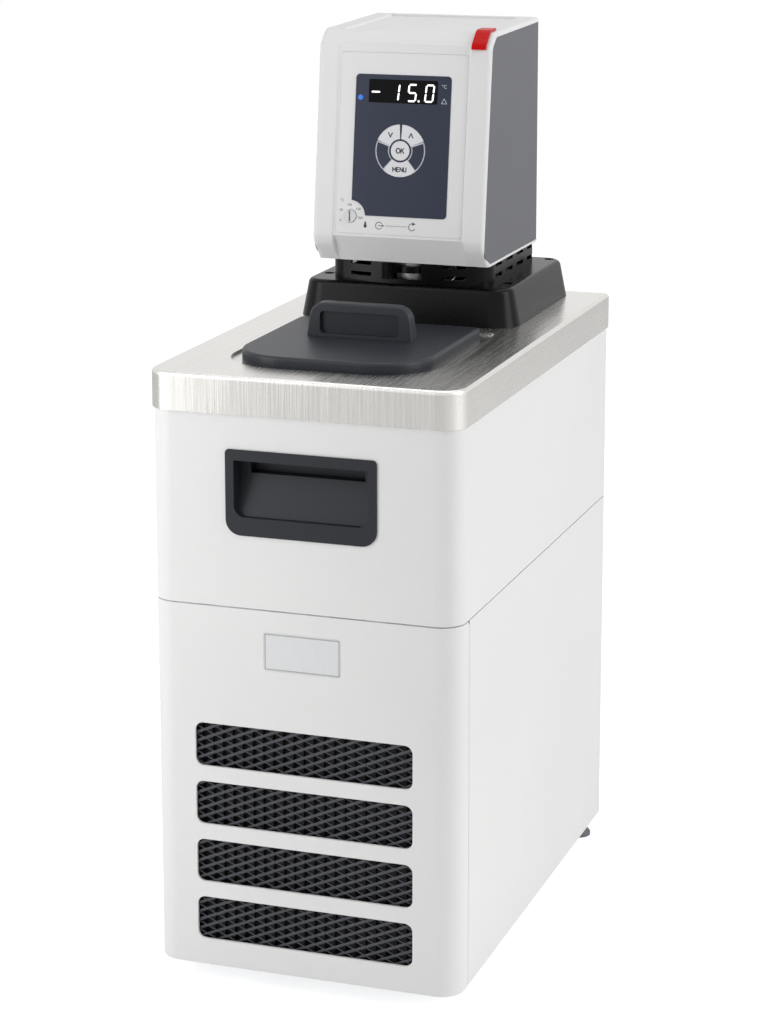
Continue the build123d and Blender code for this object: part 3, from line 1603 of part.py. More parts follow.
def screws():
    """All the screws that show or hold the feet, the bridge and the rear grille."""
    return Compound(children=foot_screws() + bridge_screws() + grille_screws())


def appliance_inlet(x, rear, z):
    """A recessed socket with three flat pins, its face flush with a back wall."""
    w, h = inlet_width / 2, inlet_height / 2
    body = block(x - w, x + w, rear - inlet_depth, rear, z - h, z + h)
    wall = inlet_wall
    body -= block(x - w + wall, x + w - wall, rear - inlet_depth + wall, rear + 1, z - h + wall, z + h - wall)
    for dx, dz in ((-pin_spread, -2.0), (0, 2.0), (pin_spread, -2.0)):
        px, pz = x + dx, z + dz
        body += block(px - pin_width / 2, px + pin_width / 2, rear - inlet_depth + wall - eps,
                      rear - inlet_depth + wall + pin_length, pz - pin_height / 2, pz + pin_height / 2)
    return body


def mains_inlet():
    """The cabinet's mains inlet."""
    return appliance_inlet(inlet_x, cabinet_rear, foot_height + inlet_z)


def head_outlet():
    """Outlet socket that feeds the head: a solid face with three slots."""
    w, h = inlet_width / 2, inlet_height / 2
    z = foot_height + inlet_z
    body = block(outlet_x - w, outlet_x + w, cabinet_rear - inlet_depth, cabinet_rear, z - h, z + h)
    for dx, dz in ((-pin_spread, -2.0), (0, 2.0), (pin_spread, -2.0)):
        px, pz = outlet_x + dx, z + dz
        body -= block(px - 1.4, px + 1.4, cabinet_rear - pin_length - 2, cabinet_rear + 1, pz - 2.6, pz + 2.6)
    return body


def head_inlet():
    """The head's own inlet, in its back."""
    return appliance_inlet(0.0, head_rear_y, deck_z + head_inlet_z)


def power_sockets():
    """The cabinet's inlet and its outlet for the head, and the head's own inlet."""
    return Compound(children=[mains_inlet(), head_outlet(), head_inlet()])


def circuit_breaker():
    """Circuit breaker with its reset stem, in the back of the lower cabinet."""
    z = foot_height + inlet_z
    body = breaker_block(0, cabinet_rear - 2 * inlet_depth, cabinet_rear)
    return body + bar_y(4, cabinet_rear, cabinet_rear + 1.2, breaker_x, z)


KEYS = ("key_down", "key_up", "key_ok", "key_menu")

NODES = [base_pan, rubber_feet, screws, lower_housing, front_cover, badge_plate, vent_mesh,
         upper_housing, grips, deck_plate, bath_tank, tank_insulation, mid_shelf, evaporator_coil,
         bath_lid, bridge_cover, slotted_neck, flow_lever, head_cover, head_housing, fascia,
         keypad_foil, display_window, status_light, control_board, cutout_dial,
         power_rocker, rocker_body, motor_plate, pump_motor, pump_plate, pump_lantern, pump_tube,
         shaft_bush, pump_shaft, impeller, heater_coil, temperature_probe, float_rod,
         level_float, bath_pipes, pump_nipples, condenser, fan_shroud, fan_blades, fan_motor,
         compressor, compressor_mounts, refrigerant_pipes, filter_dryer, drain_pipe, drain_valve,
         drain_knob, rear_grille, power_sockets, circuit_breaker]


def main():
    """Write every node to its own file."""
    os.makedirs("parts", exist_ok=True)
    for build in NODES:
        export_step(build(), f"parts/{build.__name__}.step")
    for name in KEYS:
        export_step(key(name), f"parts/{name}.step")


main()
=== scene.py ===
import math

import bpy
import numpy as np
from mathutils import Matrix, Vector


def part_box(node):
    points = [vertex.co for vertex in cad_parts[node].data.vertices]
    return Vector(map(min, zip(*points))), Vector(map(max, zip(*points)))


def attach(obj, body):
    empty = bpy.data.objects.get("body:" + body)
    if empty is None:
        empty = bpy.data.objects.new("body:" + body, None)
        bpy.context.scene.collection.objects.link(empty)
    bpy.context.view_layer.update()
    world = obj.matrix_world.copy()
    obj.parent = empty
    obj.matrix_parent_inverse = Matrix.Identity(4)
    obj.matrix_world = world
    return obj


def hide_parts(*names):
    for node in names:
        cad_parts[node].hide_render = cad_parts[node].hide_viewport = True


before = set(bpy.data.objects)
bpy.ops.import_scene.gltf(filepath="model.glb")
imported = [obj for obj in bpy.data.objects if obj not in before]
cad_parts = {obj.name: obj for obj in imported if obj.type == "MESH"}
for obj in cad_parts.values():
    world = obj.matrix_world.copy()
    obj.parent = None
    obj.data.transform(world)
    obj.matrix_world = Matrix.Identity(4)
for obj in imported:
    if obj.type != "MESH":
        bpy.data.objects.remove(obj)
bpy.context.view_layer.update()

# A compact refrigerated circulator: finishes, printed marks, vent grid, light and camera.
# Metres, +Z up. Sizes marked mm are turned into metres where they are used.

MM = 0.001

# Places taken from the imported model
DECK_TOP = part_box("deck_plate")[1].z
FOIL_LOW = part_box("keypad_foil")[0]
MESH_LOW, MESH_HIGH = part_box("vent_mesh")
BADGE_LOW, BADGE_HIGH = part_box("badge_plate")
FLOOR_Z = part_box("rubber_feet")[0].z

# Head panel, mm. X is across from the middle, and Z a height over the deck.
PANEL_LEAN = math.radians(7.2)
FOIL_BOTTOM = 81.5
FOIL_T = 0.4
KEY_PROUD = 0.7
WINDOW_PROUD = 0.5
DIAL_PROUD = 1.2
PRINT_T = 0.04
PRINT_GAP = 0.01
STROKE_CAP = 0.3
RING_X, RING_Z = -0.5, 130.0
RING_OUTER, RING_INNER = 19.3, 8.6
DIAL_X, DIAL_Z = -37.9, 80.7

# Figures and signs of the display, mm
DIGIT_LOW, DIGIT_HIGH, DIGIT_SLANT = 165.8, 179.0, 0.095
DIGIT_WIDTH, SEGMENT_T, SEGMENT_GAP, SEGMENT_TIP = 7.1, 1.25, 0.22, 0.1
TENS_X, ONES_X, TENTHS_X = -10.4, 3.0, 16.4
MINUS_START, MINUS_END, MINUS_Z = -24.8, -17.6, 172.4
POINT_X, POINT_R, POINT_RISE = 12.2, 0.75, 0.7
UNIT_X, UNIT_Z, UNIT_SIZE = 31.6, 177.6, 3.6
ALARM_X, ALARM_HALF, ALARM_LOW, ALARM_TOP, ALARM_LINE = 31.9, 2.0, 165.4, 169.0, 0.35

# Signs on the keys, mm, and angles round the ring in degrees
ARROW_HALF, ARROW_RISE, ARROW_LINE = 1.5, 1.6, 0.85
OK_TALL, OK_LINE = 3.5, 0.82
MENU_TALL, MENU_LINE, MENU_DROP = 3.1, 0.74, 0.985
DOWN_ANGLE, UP_ANGLE = 125, 55
BLANK_LEFT, BLANK_RIGHT = (160, 228), (-50, 20)
BLANK_LINE, BLANK_INNER_GAP, BLANK_OUTER_GAP = 0.8, 0.5, 0.4

# Dial scale: numbers at angles in degrees, sizes in mm
SCALE_ANGLES = {"0": 205, "50": 150, "100": 95, "150": 40, "200": -8}
SCALE_R, SCALE_SIZE = 8.2, 2.5
SCALE_UNIT_X, SCALE_UNIT_Z, SCALE_UNIT_SIZE = DIAL_X - 6.6, DIAL_Z + 11.2, 3.0
SLOT_HALF, SLOT_LEAN, SLOT_LINE = 3.6, 0.45, 0.55

# Flow signs under the foil, mm; shafts and heads are corners seen from the sign's middle, and
# arcs go from one angle in degrees to another
FLOW_Z, FLOW_R, FLOW_LINE = 74.6, 2.6, 0.5
IN_X, OUT_X, DROP_X = -14.9, 10.9, -25.7
IN_SHAFT, IN_HEAD = ((-0.7, 0), (3.5, 0)), ((2.3, -1.0), (4.1, 0), (2.3, 1.0))
OUT_HEAD = ((0, 1.1), (2.7, 2.3), (0.3, 3.7))
DROP_R, DROP_SINK, DROP_TIP = 1.25, 0.9, ((0.35, 2.6), (-0.35, 2.6))
IN_ARC, OUT_ARC, DROP_ARC = (35, 325), (60, 330), (150, 390)
DOT_START, DOT_END, DOT_STEP, DOT_R = -9.2, 7.4, 1.95, 0.42

# Expanded metal of the vents, mm
STRAND_PITCH = 3.2
CELL_LENGTH = 14.9
STRAND_SWING = 1.5
STRAND_WIDE, STRAND_NARROW = 2.6, 1.0
STRAND_T = 0.8
STRAND_TILT = math.radians(15)
SECTION_ANGLES = (20, 90, 160, 200, 270, 340)
RINGS_PER_CELL = 12
TIP_CLIP, TURN_SHARPNESS = 1.12, 3
GRID_MARGIN, GRID_BACK = 1, 0.6

# A Mix node's sockets for each kind of value: the two that are mixed, and the result
MIX_SOCKETS = {"FLOAT": (2, 3, 0), "RGBA": (6, 7, 2)}

# Light: places and sizes of the lamps' faces in metres, power in watts
LAMPS = {"left_softbox": ((-0.52, -0.62, 0.6), 0.4, 0.9, 3.6),
         "right_softbox": ((2.4, -0.2, 1.5), 1.4, 2.0, 34.0),
         "top_softbox": ((0.0, 0.3, 2.6), 1.6, 1.6, 11.0)}
LAMP_TARGET = (0, 0, 0.35)
FILL_LIGHT = 0.3
FLOOR_HALF = 6.0
FLOOR_GLOW, MIRRORED_SHARE = (0.7, 0.7, 0.7, 1), 0.4
BLACK = (0, 0, 0, 1)

# Camera, fitted to the photograph's edges
CAMERA_PLACE = (0.6607, -1.9229, DECK_TOP + 0.3992)
CAMERA_AZIMUTH = math.radians(19.146)
CAMERA_PITCH = math.radians(11.717)
CAMERA_ROLL = math.radians(-0.065)
FOCAL_PIXELS = 2798.9
IMAGE_HEIGHT = 1024
SENSOR = 36.0
CAMERA_SHIFT_Y = -0.15


def linear(red, green, blue):
    """A colour in screen values from 0 to 255, as the linear colour that a shader takes."""
    values = np.array([red, green, blue]) / 255.0
    curve = np.where(values <= 0.04045, values / 12.92, ((values + 0.055) / 1.055) ** 2.4)
    return (*(float(v) for v in curve), 1.0)


class Tone:
    """A number socket of a finish. Arithmetic on it adds Math nodes."""

    def __init__(self, finish, socket):
        self.finish = finish
        self.socket = socket

    def math(self, operation, *others):
        """A Math node of this value and others."""
        inputs = dict(enumerate((self, *others)))
        return self.finish.add("ShaderNodeMath", {"operation": operation}, inputs)

    def __add__(self, other):
        return self.math("ADD", other)

    __radd__ = __add__

    def __sub__(self, other):
        return self.math("SUBTRACT", other)

    def __rsub__(self, other):
        return self.finish.add("ShaderNodeMath", {"operation": "SUBTRACT"}, {0: other, 1: self})

    def __mul__(self, other):
        return self.math("MULTIPLY", other)

    __rmul__ = __mul__

    def above(self, edge, softness):
        """0 under an edge and 1 over it, with a smooth step between."""
        return self.finish.add("ShaderNodeMapRange", {"interpolation_type": "SMOOTHSTEP"},
                               {"Value": self, "From Min": edge - softness, "From Max": edge + softness})

    def size(self):
        """The value without its sign."""
        return self.math("ABSOLUTE")

    def least(self, other):
        return self.math("MINIMUM", other)

    def most(self, other):
        return self.math("MAXIMUM", other)


class Finish:
    """One procedural material: a Principled shader and what feeds it."""

    def __init__(self, name, **fixed):
        self.material = bpy.data.materials.new(name)
        self.material.use_nodes = True
        self.nodes = self.material.node_tree.nodes
        self.links = self.material.node_tree.links
        self.shader = self.nodes["Principled BSDF"]
        for key, value in fixed.items():
            self.feed({key.replace("_", " ").title().replace("Ior", "IOR"): value})
        self.place = self.add("ShaderNodeTexCoord", output="Object")

    def put(self, node, inputs):
        """Gives a node's sockets their values, or links them."""
        for key, value in inputs.items():
            if isinstance(value, Tone):
                self.links.new(value.socket, node.inputs[key])
            else:
                node.inputs[key].default_value = value

    def add(self, kind, settings=None, inputs=None, output=0):
        """Any node: its settings first, then values or links of its sockets."""
        node = self.nodes.new(kind)
        for key, value in (settings or {}).items():
            setattr(node, key, value)
        self.put(node, inputs or {})
        return Tone(self, node.outputs[output])

    def feed(self, inputs):
        """Values or links of the Principled shader."""
        self.put(self.shader, inputs)
        return self

    def axis(self, letter):
        """One coordinate of the place, in metres."""
        return self.add("ShaderNodeSeparateXYZ", inputs={0: self.place}, output=letter)

    def grid(self, stretch):
        """The place, stretched: larger numbers make a finer pattern along that axis."""
        return self.add("ShaderNodeMapping", inputs={"Vector": self.place, "Scale": stretch})

    def noise(self, scale, detail=3.0, stretch=(1.0, 1.0, 1.0)):
        """A soft cloudy pattern, 0 to 1, in cycles to the metre."""
        inputs = {"Vector": self.grid(stretch), "Scale": scale, "Detail": detail}
        return self.add("ShaderNodeTexNoise", inputs=inputs)

    def cells(self, scale, feature="F1", output="Distance"):
        """A pattern of cells, in cells to the metre."""
        inputs = {"Vector": self.place, "Scale": scale}
        return self.add("ShaderNodeTexVoronoi", {"feature": feature}, inputs, output)

    def mix(self, factor, low, high, kind="RGBA"):
        """A colour between two colours, or a pattern between two patterns with the kind FLOAT."""
        first, second, result = MIX_SOCKETS[kind]
        inputs = {0: factor, first: low, second: high}
        return self.add("ShaderNodeMix", {"data_type": kind}, inputs, result)

    def span(self, factor, low, high):
        """A number between two numbers."""
        return factor * (high - low) + low

    def bump(self, height, depth, strength=1.0):
        """Roughens the surface by a height pattern, in metres of depth."""
        inputs = {"Height": height, "Distance": depth, "Strength": strength}
        return self.feed({"Normal": self.add("ShaderNodeBump", inputs=inputs)})


def faces_side(finish):
    """1 on surfaces that face along X, 0 elsewhere, from the size of the normal's X."""
    normal = finish.add("ShaderNodeNewGeometry", output="Normal")
    across = finish.add("ShaderNodeSeparateXYZ", inputs={0: normal}, output="X")
    return across.size().above(edge=0.75, softness=0.1)


def brushed_steel(name, light, dark, low_rough, high_rough):
    """Steel sheet brushed from front to back: long fine noise along Y, level on the side rims too."""
    f = Finish(name, metallic=1.0, anisotropic=0.35)
    lengthwise = f.noise(1.0, detail=2.0, stretch=(1500.0, 9.0, 14.0))
    flank = f.noise(1.0, detail=2.0, stretch=(60.0, 9.0, 1500.0))
    grain = f.mix(faces_side(f), lengthwise, flank, kind="FLOAT")
    cloud = f.noise(9.0, detail=3.0)
    f.feed({"Base Color": f.mix(grain * 0.6 + cloud * 0.4, dark, light),
            "Roughness": f.span(grain.above(edge=0.5, softness=0.35), low_rough, high_rough)})
    return f.bump(grain, depth=0.00002, strength=0.35).material


def satin_steel(name, light, dark, rough):
    """Deep-drawn or turned steel with a soft even grain."""
    f = Finish(name, metallic=1.0)
    grain = f.noise(260.0, detail=4.0, stretch=(1.0, 1.0, 5.0))
    f.feed({"Base Color": f.mix(grain, dark, light),
            "Roughness": f.span(grain, rough - 0.05, rough + 0.08)})
    return f.bump(grain, depth=0.00002, strength=0.3).material


def fine_paint(name, color, shade, rough):
    """Baked paint: a faint orange peel and an almost even colour."""
    f = Finish(name, specular_ior_level=0.4)
    peel = f.noise(420.0, detail=2.0)
    cloud = f.noise(7.0, detail=2.0)
    f.feed({"Base Color": f.mix(cloud, shade, color),
            "Roughness": f.span(peel, rough - 0.04, rough + 0.06)})
    return f.bump(peel, depth=0.00003, strength=0.25).material


def moulded(name, color, shade, rough, grain_scale=1300.0, depth=0.00004, gleam=0.35):
    """Moulded plastic with a spark-eroded grain."""
    f = Finish(name, specular_ior_level=gleam)
    grain = f.noise(grain_scale, detail=3.0)
    cloud = f.noise(14.0, detail=2.0)
    f.feed({"Base Color": f.mix(cloud * 0.7 + grain * 0.3, shade, color),
            "Roughness": f.span(grain, rough - 0.06, rough + 0.08)})
    return f.bump(grain, depth=depth, strength=0.4).material


def glossy_plastic(name, color, shade, rough, gleam):
    """Smooth moulded plastic with a polished skin."""
    f = Finish(name, specular_ior_level=gleam)
    cloud = f.noise(40.0, detail=2.0)
    f.feed({"Base Color": f.mix(cloud, shade, color), "Roughness": f.span(cloud, rough, rough + 0.05)})
    return f.material


def printed_foil():
    """Dark printed foil with the faint pebble of a matt film."""
    f = Finish("foil_print", specular_ior_level=0.25)
    pebble = f.cells(1800.0)
    cloud = f.noise(25.0, detail=2.0)
    f.feed({"Base Color": f.mix(cloud, linear(36, 43, 60), linear(43, 50, 70)),
            "Roughness": f.span(pebble, 0.3, 0.42)})
    return f.bump(pebble, depth=0.00001, strength=0.3).material


def glow(name, color, strength):
    """Something that shines by itself, in faint clouds."""
    f = Finish(name, emission_strength=strength, roughness=0.4)
    cloud = f.noise(300.0, detail=1.0)
    tint = f.mix(cloud, tuple(0.9 * c for c in color[:3]) + (1.0,), color)
    return f.feed({"Base Color": tint, "Emission Color": tint}).material


def ink(name, color):
    """Screen-printed ink with slightly uneven cover."""
    f = Finish(name)
    cover = f.noise(900.0, detail=2.0)
    thin = tuple(min(1.0, c * 1.12 + 0.01) for c in color[:3]) + (1.0,)
    f.feed({"Base Color": f.mix(cover, color, thin), "Roughness": f.span(cover, 0.4, 0.55)})
    return f.material


def zinc():
    """Zinc-coated sheet with its crystal spangle."""
    f = Finish("zinc_sheet", metallic=1.0)
    spangle = f.add("ShaderNodeSeparateColor", inputs={0: f.cells(90.0, output="Color")})
    f.feed({"Base Color": f.mix(spangle, linear(150, 154, 158), linear(196, 199, 202)),
            "Roughness": f.span(spangle, 0.32, 0.5)})
    return f.material


def copper():
    """Drawn copper tube, dulled in patches."""
    f = Finish("copper_tube", metallic=1.0)
    patch = f.noise(60.0, detail=4.0)
    f.feed({"Base Color": f.mix(patch, linear(150, 88, 58), linear(214, 140, 100)),
            "Roughness": f.span(patch, 0.25, 0.45)})
    return f.material


def foam():
    """Insulating foam: open pores in a pale skin."""
    f = Finish("jacket_foam", subsurface_weight=0.05)
    pores = f.cells(700.0)
    f.feed({"Base Color": f.mix(pores, linear(214, 200, 150), linear(238, 228, 190)), "Roughness": 0.9})
    return f.bump(pores, depth=0.0003, strength=0.6).material


def rubber(name, color, shade):
    """Moulded rubber with a dusty bloom."""
    f = Finish(name, specular_ior_level=0.3)
    bloom = f.noise(180.0, detail=4.0)
    f.feed({"Base Color": f.mix(bloom, shade, color), "Roughness": f.span(bloom, 0.6, 0.8)})
    return f.bump(bloom, depth=0.00005, strength=0.3).material


def circuit_board():
    """Green solder mask with lighter tracks."""
    f = Finish("board_mask", coat_weight=0.3)
    track = f.cells(260.0, feature="DISTANCE_TO_EDGE").above(edge=0.08, softness=0.02)
    f.feed({"Base Color": f.mix(track, linear(40, 120, 70), linear(16, 74, 42)), "Roughness": 0.4})
    return f.bump(track, depth=0.00005, strength=0.4).material


def bare_badge():
    """The bare plate on the cover: a silver field inside a fine pressed border, whose groove is painted
    darker as painted shade.
    """
    f = Finish("badge_sheet", specular_ior_level=0.5)
    half_w = (BADGE_HIGH.x - BADGE_LOW.x) / 2
    half_h = (BADGE_HIGH.z - BADGE_LOW.z) / 2
    middle = (BADGE_HIGH.z + BADGE_LOW.z) / 2
    border_start, border_end, softness = 0.0006, 0.0014, 0.0001
    inside = (half_w - f.axis("X").size()).least(half_h - (f.axis("Z") - middle).size())
    border_groove_and_shade = inside.above(border_start, softness) - inside.above(border_end, softness)
    grain = f.noise(1.0, detail=2.0, stretch=(1400.0, 1.0, 60.0))
    field = f.mix(grain, linear(226, 227, 228), linear(238, 239, 240))
    # The groove of the pressed border is coloured darker grey: painted shade in the groove. The bump
    # gives its real depth.
    f.feed({"Base Color": f.mix(border_groove_and_shade, field, linear(176, 178, 181)),
            "Roughness": f.span(grain, 0.3, 0.42)})
    return f.bump(border_groove_and_shade, depth=0.0002, strength=0.8).material


def make_finishes():
    """Every finish by name, and the nodes that wear it."""
    wear = {
        brushed_steel("deck_brushed", linear(232, 230, 226), linear(204, 203, 200), 0.2, 0.32):
            ["deck_plate"],
        satin_steel("tank_drawn", linear(200, 200, 198), linear(166, 166, 165), 0.3):
            ["bath_tank", "pump_tube", "pump_plate", "heater_coil", "temperature_probe", "float_rod",
             "evaporator_coil", "pump_shaft", "pump_nipples", "bath_pipes"],
        satin_steel("screw_zinc", linear(190, 190, 188), linear(140, 140, 140), 0.34): ["screws"],
        fine_paint("cabinet_paint", linear(243, 243, 242), linear(236, 236, 236), 0.38):
            ["lower_housing", "upper_housing", "front_cover"],
        moulded("head_shell", linear(240, 240, 240), linear(232, 232, 233), 0.4, grain_scale=1500.0,
                depth=0.00002):
            ["head_cover", "fascia"],
        moulded("slate_plastic", linear(33, 36, 43), linear(27, 30, 36), 0.42): ["bath_lid", "grips"],
        moulded("black_satin", linear(8, 8, 9), linear(4, 4, 5), 0.27, grain_scale=1100.0,
                depth=0.00002, gleam=0.15):
            ["bridge_cover", "slotted_neck", "flow_lever", "drain_knob"],
        moulded("socket_black", linear(30, 30, 31), linear(20, 20, 21), 0.5):
            ["power_sockets", "circuit_breaker", "rocker_body"],
        moulded("side_panel", linear(100, 101, 106), linear(92, 93, 98), 0.42): ["head_housing"],
        printed_foil(): ["keypad_foil"],
        glossy_plastic("window_smoke", linear(10, 11, 12), linear(6, 7, 8), rough=0.1, gleam=0.1):
            ["display_window"],
        moulded("key_cap", linear(232, 233, 236), linear(224, 225, 229), 0.38, grain_scale=1600.0,
                depth=0.00001):
            ["key_down", "key_up", "key_menu", "key_ok"],
        moulded("dial_cap", linear(228, 229, 231), linear(216, 217, 220), 0.42, grain_scale=1600.0,
                depth=0.00001):
            ["cutout_dial"],
        glossy_plastic("rocker_red", linear(212, 12, 11), linear(192, 9, 9), rough=0.3, gleam=0.12):
            ["power_rocker"],
        glow("status_blue", linear(38, 104, 200), 0.5): ["status_light"],
        bare_badge(): ["badge_plate"],
        zinc(): ["base_pan", "mid_shelf", "fan_shroud", "motor_plate"],
        fine_paint("grille_paint", linear(58, 60, 64), linear(48, 50, 54), 0.45): ["rear_grille"],
        rubber("foot_rubber", linear(132, 135, 142), linear(112, 115, 121)): ["rubber_feet"],
        rubber("mount_rubber", linear(44, 44, 45), linear(34, 34, 35)): ["compressor_mounts"],
        copper(): ["refrigerant_pipes", "filter_dryer"],
        fine_paint("motor_paint", linear(34, 34, 36), linear(24, 24, 25), 0.3):
            ["compressor", "fan_motor"],
        satin_steel("cast_alloy", linear(176, 177, 178), linear(140, 141, 142), 0.45):
            ["pump_motor", "pump_lantern"],
        # The condenser's fins are black paint, made darker still as painted shade of the dim cabinet seen
        # through the vents.
        fine_paint("fin_black_and_shade", linear(7, 7, 8), linear(4, 4, 5), 0.6): ["condenser"],
        moulded("fan_plastic", linear(50, 51, 53), linear(38, 39, 41), 0.5):
            ["fan_blades", "impeller", "shaft_bush", "level_float"],
        foam(): ["tank_insulation"],
        circuit_board(): ["control_board"],
        satin_steel("valve_brass", linear(196, 164, 92), linear(150, 120, 60), 0.32): ["drain_valve"],
        rubber("drain_hose", linear(196, 196, 190), linear(180, 180, 174)): ["drain_pipe"],
    }
    for material, names in wear.items():
        for name in names:
            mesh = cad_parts[name].data
            mesh.materials.clear()
            mesh.materials.append(material)


def place_piece(mesh, body, material):
    """Makes a finished mesh a piece at the origin, under the mesh's own name."""
    mesh.materials.append(material)
    piece = bpy.data.objects.new(mesh.name, mesh)
    bpy.context.scene.collection.objects.link(piece)
    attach(piece, body)
    return piece


def new_piece(name, verts, faces, body, material):
    """Puts worked-out points and faces into a mesh that rides on a body."""
    mesh = bpy.data.meshes.new(name)
    mesh.from_pydata(np.asarray(verts).reshape(-1, 3).tolist(), [], faces)
    mesh.validate()
    return place_piece(mesh, body, material)


def tube_faces(rings, around):
    """Side and end faces of a closed tube of rings, each with the same count of points."""
    ring, step = np.meshgrid(np.arange(rings - 1), np.arange(around), indexing="ij")
    here, after = ring * around + step, ring * around + (step + 1) % around
    sides = np.stack([here, after, after + around, here + around], -1).reshape(-1, 4)
    first = np.arange(around)
    return sides, np.stack([first[::-1], first + (rings - 1) * around])


def vent_grid(material):
    """Expanded metal: each strand is a flat bar whose middle line zigzags, a clipped triangle wave
    in height over the distance across, and neighbours are half a wave apart, so that rising runs
    join into diagonals. Rising runs are wide and falling runs narrow. The section is turned by one
    tilt, so that its upper edge leans to the front like a louvre."""
    low, high = np.array(MESH_LOW) / MM, np.array(MESH_HIGH) / MM
    strands = int((high[2] - low[2]) / STRAND_PITCH)
    rings = int((high[0] - low[0]) / CELL_LENGTH * RINGS_PER_CELL)
    along = np.linspace(low[0] + GRID_MARGIN, high[0] - GRID_MARGIN, rings)
    corners = np.radians(np.array(SECTION_ANGLES))
    across = np.cos(corners) / 2
    thick = np.sin(corners) * STRAND_T / 2
    phase = along / CELL_LENGTH
    triangle = 4 * np.abs(phase - np.floor(phase) - 0.5) - 1
    wave = np.clip(TIP_CLIP * triangle, -1, 1) * STRAND_SWING
    steepness = np.tanh(TURN_SHARPNESS * np.sin(2 * math.pi * phase))
    mean_width, spread = (STRAND_WIDE + STRAND_NARROW) / 2, (STRAND_WIDE - STRAND_NARROW) / 2
    middle_y = (low[1] + high[1]) / 2 + GRID_BACK
    x = np.repeat(along[:, None], len(corners), 1)
    strand_points = len(along) * len(corners)
    sides, ends = tube_faces(len(along), len(corners))
    verts, faces = [], []
    for n in range(strands):
        way = 1 if n % 2 else -1
        height = low[2] + (n + 0.5) * STRAND_PITCH + way * wave
        wide = (mean_width - way * steepness * spread)[:, None] * across[None, :]
        z = height[:, None] + wide * math.cos(STRAND_TILT) - thick[None, :] * math.sin(STRAND_TILT)
        y = middle_y - wide * math.sin(STRAND_TILT) - thick[None, :] * math.cos(STRAND_TILT)
        verts.append(np.stack([x, y, z], -1).reshape(-1, 3))
        first = n * strand_points
        faces += (sides + first).tolist() + (ends + first).tolist()
    piece = new_piece("vent_grid", np.concatenate(verts) * MM, faces, "cabinet", material)
    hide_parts("vent_mesh")


def panel_matrix():
    """The panel's frame: X across, Y up the lean from the foil's bottom edge, Z outward."""
    up = Vector((0, math.sin(PANEL_LEAN), math.cos(PANEL_LEAN)))
    out = Vector((0, -math.cos(PANEL_LEAN), math.sin(PANEL_LEAN)))
    corner = Vector((0, FOIL_LOW.y, FOIL_LOW.z + FOIL_T * MM * math.sin(PANEL_LEAN)))
    start = corner - out * FOIL_T * MM
    turn = Matrix((Vector((1, 0, 0)), up, out)).transposed().to_4x4()
    return Matrix.Translation(start) @ turn


def rise(height):
    """Distance up the panel, in mm, of a height over the deck."""
    return (height - FOIL_BOTTOM) / math.cos(PANEL_LEAN)


def mark(name, outlines, out, body, material):
    """Printed shapes on the panel: each outline, in mm across and up the panel, becomes a thin
    closed plate whose two faces are the outline at two distances outside the surface."""
    verts, faces = [], []
    for outline in outlines:
        flat = np.asarray(outline, float)
        count, first = len(flat), len(verts)
        turning = np.sum(flat[:, 0] * np.roll(flat[:, 1], -1) - np.roll(flat[:, 0], -1) * flat[:, 1])
        flat = flat if turning > 0 else flat[::-1]
        for level in (out, out + PRINT_T):
            verts += np.column_stack([flat, np.full(count, level)]).tolist()
        faces.append([first + i for i in range(count)][::-1])
        faces.append([first + count + i for i in range(count)])
        faces += [[first + i, first + (i + 1) % count, first + count + (i + 1) % count, first + count + i]
                  for i in range(count)]
    placed = np.array(verts) * MM @ np.array(PANEL.to_3x3()).T + np.array(PANEL.translation)
    return new_piece(name, placed, faces, body, material)


def stroke(points, width, closed=False):
    """Outlines of a line of one width: a quad for each run, longer at both ends by a share of the
    width, so that runs overlap at the turns."""
    points = np.asarray(points, float)
    ends = np.roll(points, -1, 0) if closed else points[1:]
    starts = points if closed else points[:-1]
    quads = []
    for a, b in zip(starts, ends):
        along = (b - a) / np.linalg.norm(b - a)
        side = np.array([-along[1], along[0]]) * width / 2
        cap = along * width * STROKE_CAP
        quads.append([a - cap - side, b + cap - side, b + cap + side, a - cap + side])
    return quads


def arc(x, y, radius, start, end, count=16):
    """Points of a circular arc, angles in degrees from the right, anticlockwise."""
    angles = np.radians(np.linspace(start, end, count))
    return np.column_stack([x + radius * np.cos(angles), y + radius * np.sin(angles)])


def disc(x, y, radius, count):
    """A closed round outline."""
    return arc(x, y, radius, 0, 360 * (count - 1) / count, count)


def segment(start, end):
    """A display segment: a bar with pointed ends."""
    a, b = np.array(start, float), np.array(end, float)
    along = (b - a) / np.linalg.norm(b - a)
    side = np.array([-along[1], along[0]]) * SEGMENT_T / 2
    gap, tip = along * SEGMENT_GAP, along * (SEGMENT_T / 2 + SEGMENT_TIP)
    return [a + gap, a + tip + side, b - tip + side, b - gap, b - tip - side, a + tip - side]


def digit(left, bars):
    """A seven-segment figure: bars are letters a to g, clockwise from the top, g in the middle."""
    low, high = rise(DIGIT_LOW) + SEGMENT_T / 2, rise(DIGIT_HIGH) - SEGMENT_T / 2
    middle = (low + high) / 2
    inner, outer = left + SEGMENT_T / 2, left + DIGIT_WIDTH - SEGMENT_T / 2
    ends = {"a": ((inner, high), (outer, high)), "b": ((outer, high), (outer, middle)),
            "c": ((outer, middle), (outer, low)), "d": ((inner, low), (outer, low)),
            "e": ((inner, middle), (inner, low)), "f": ((inner, high), (inner, middle)),
            "g": ((inner, middle), (outer, middle))}
    shapes = [np.array(segment(*ends[bar])) for bar in bars]
    for shape in shapes:
        shape[:, 0] += (shape[:, 1] - low) * DIGIT_SLANT
    return shapes


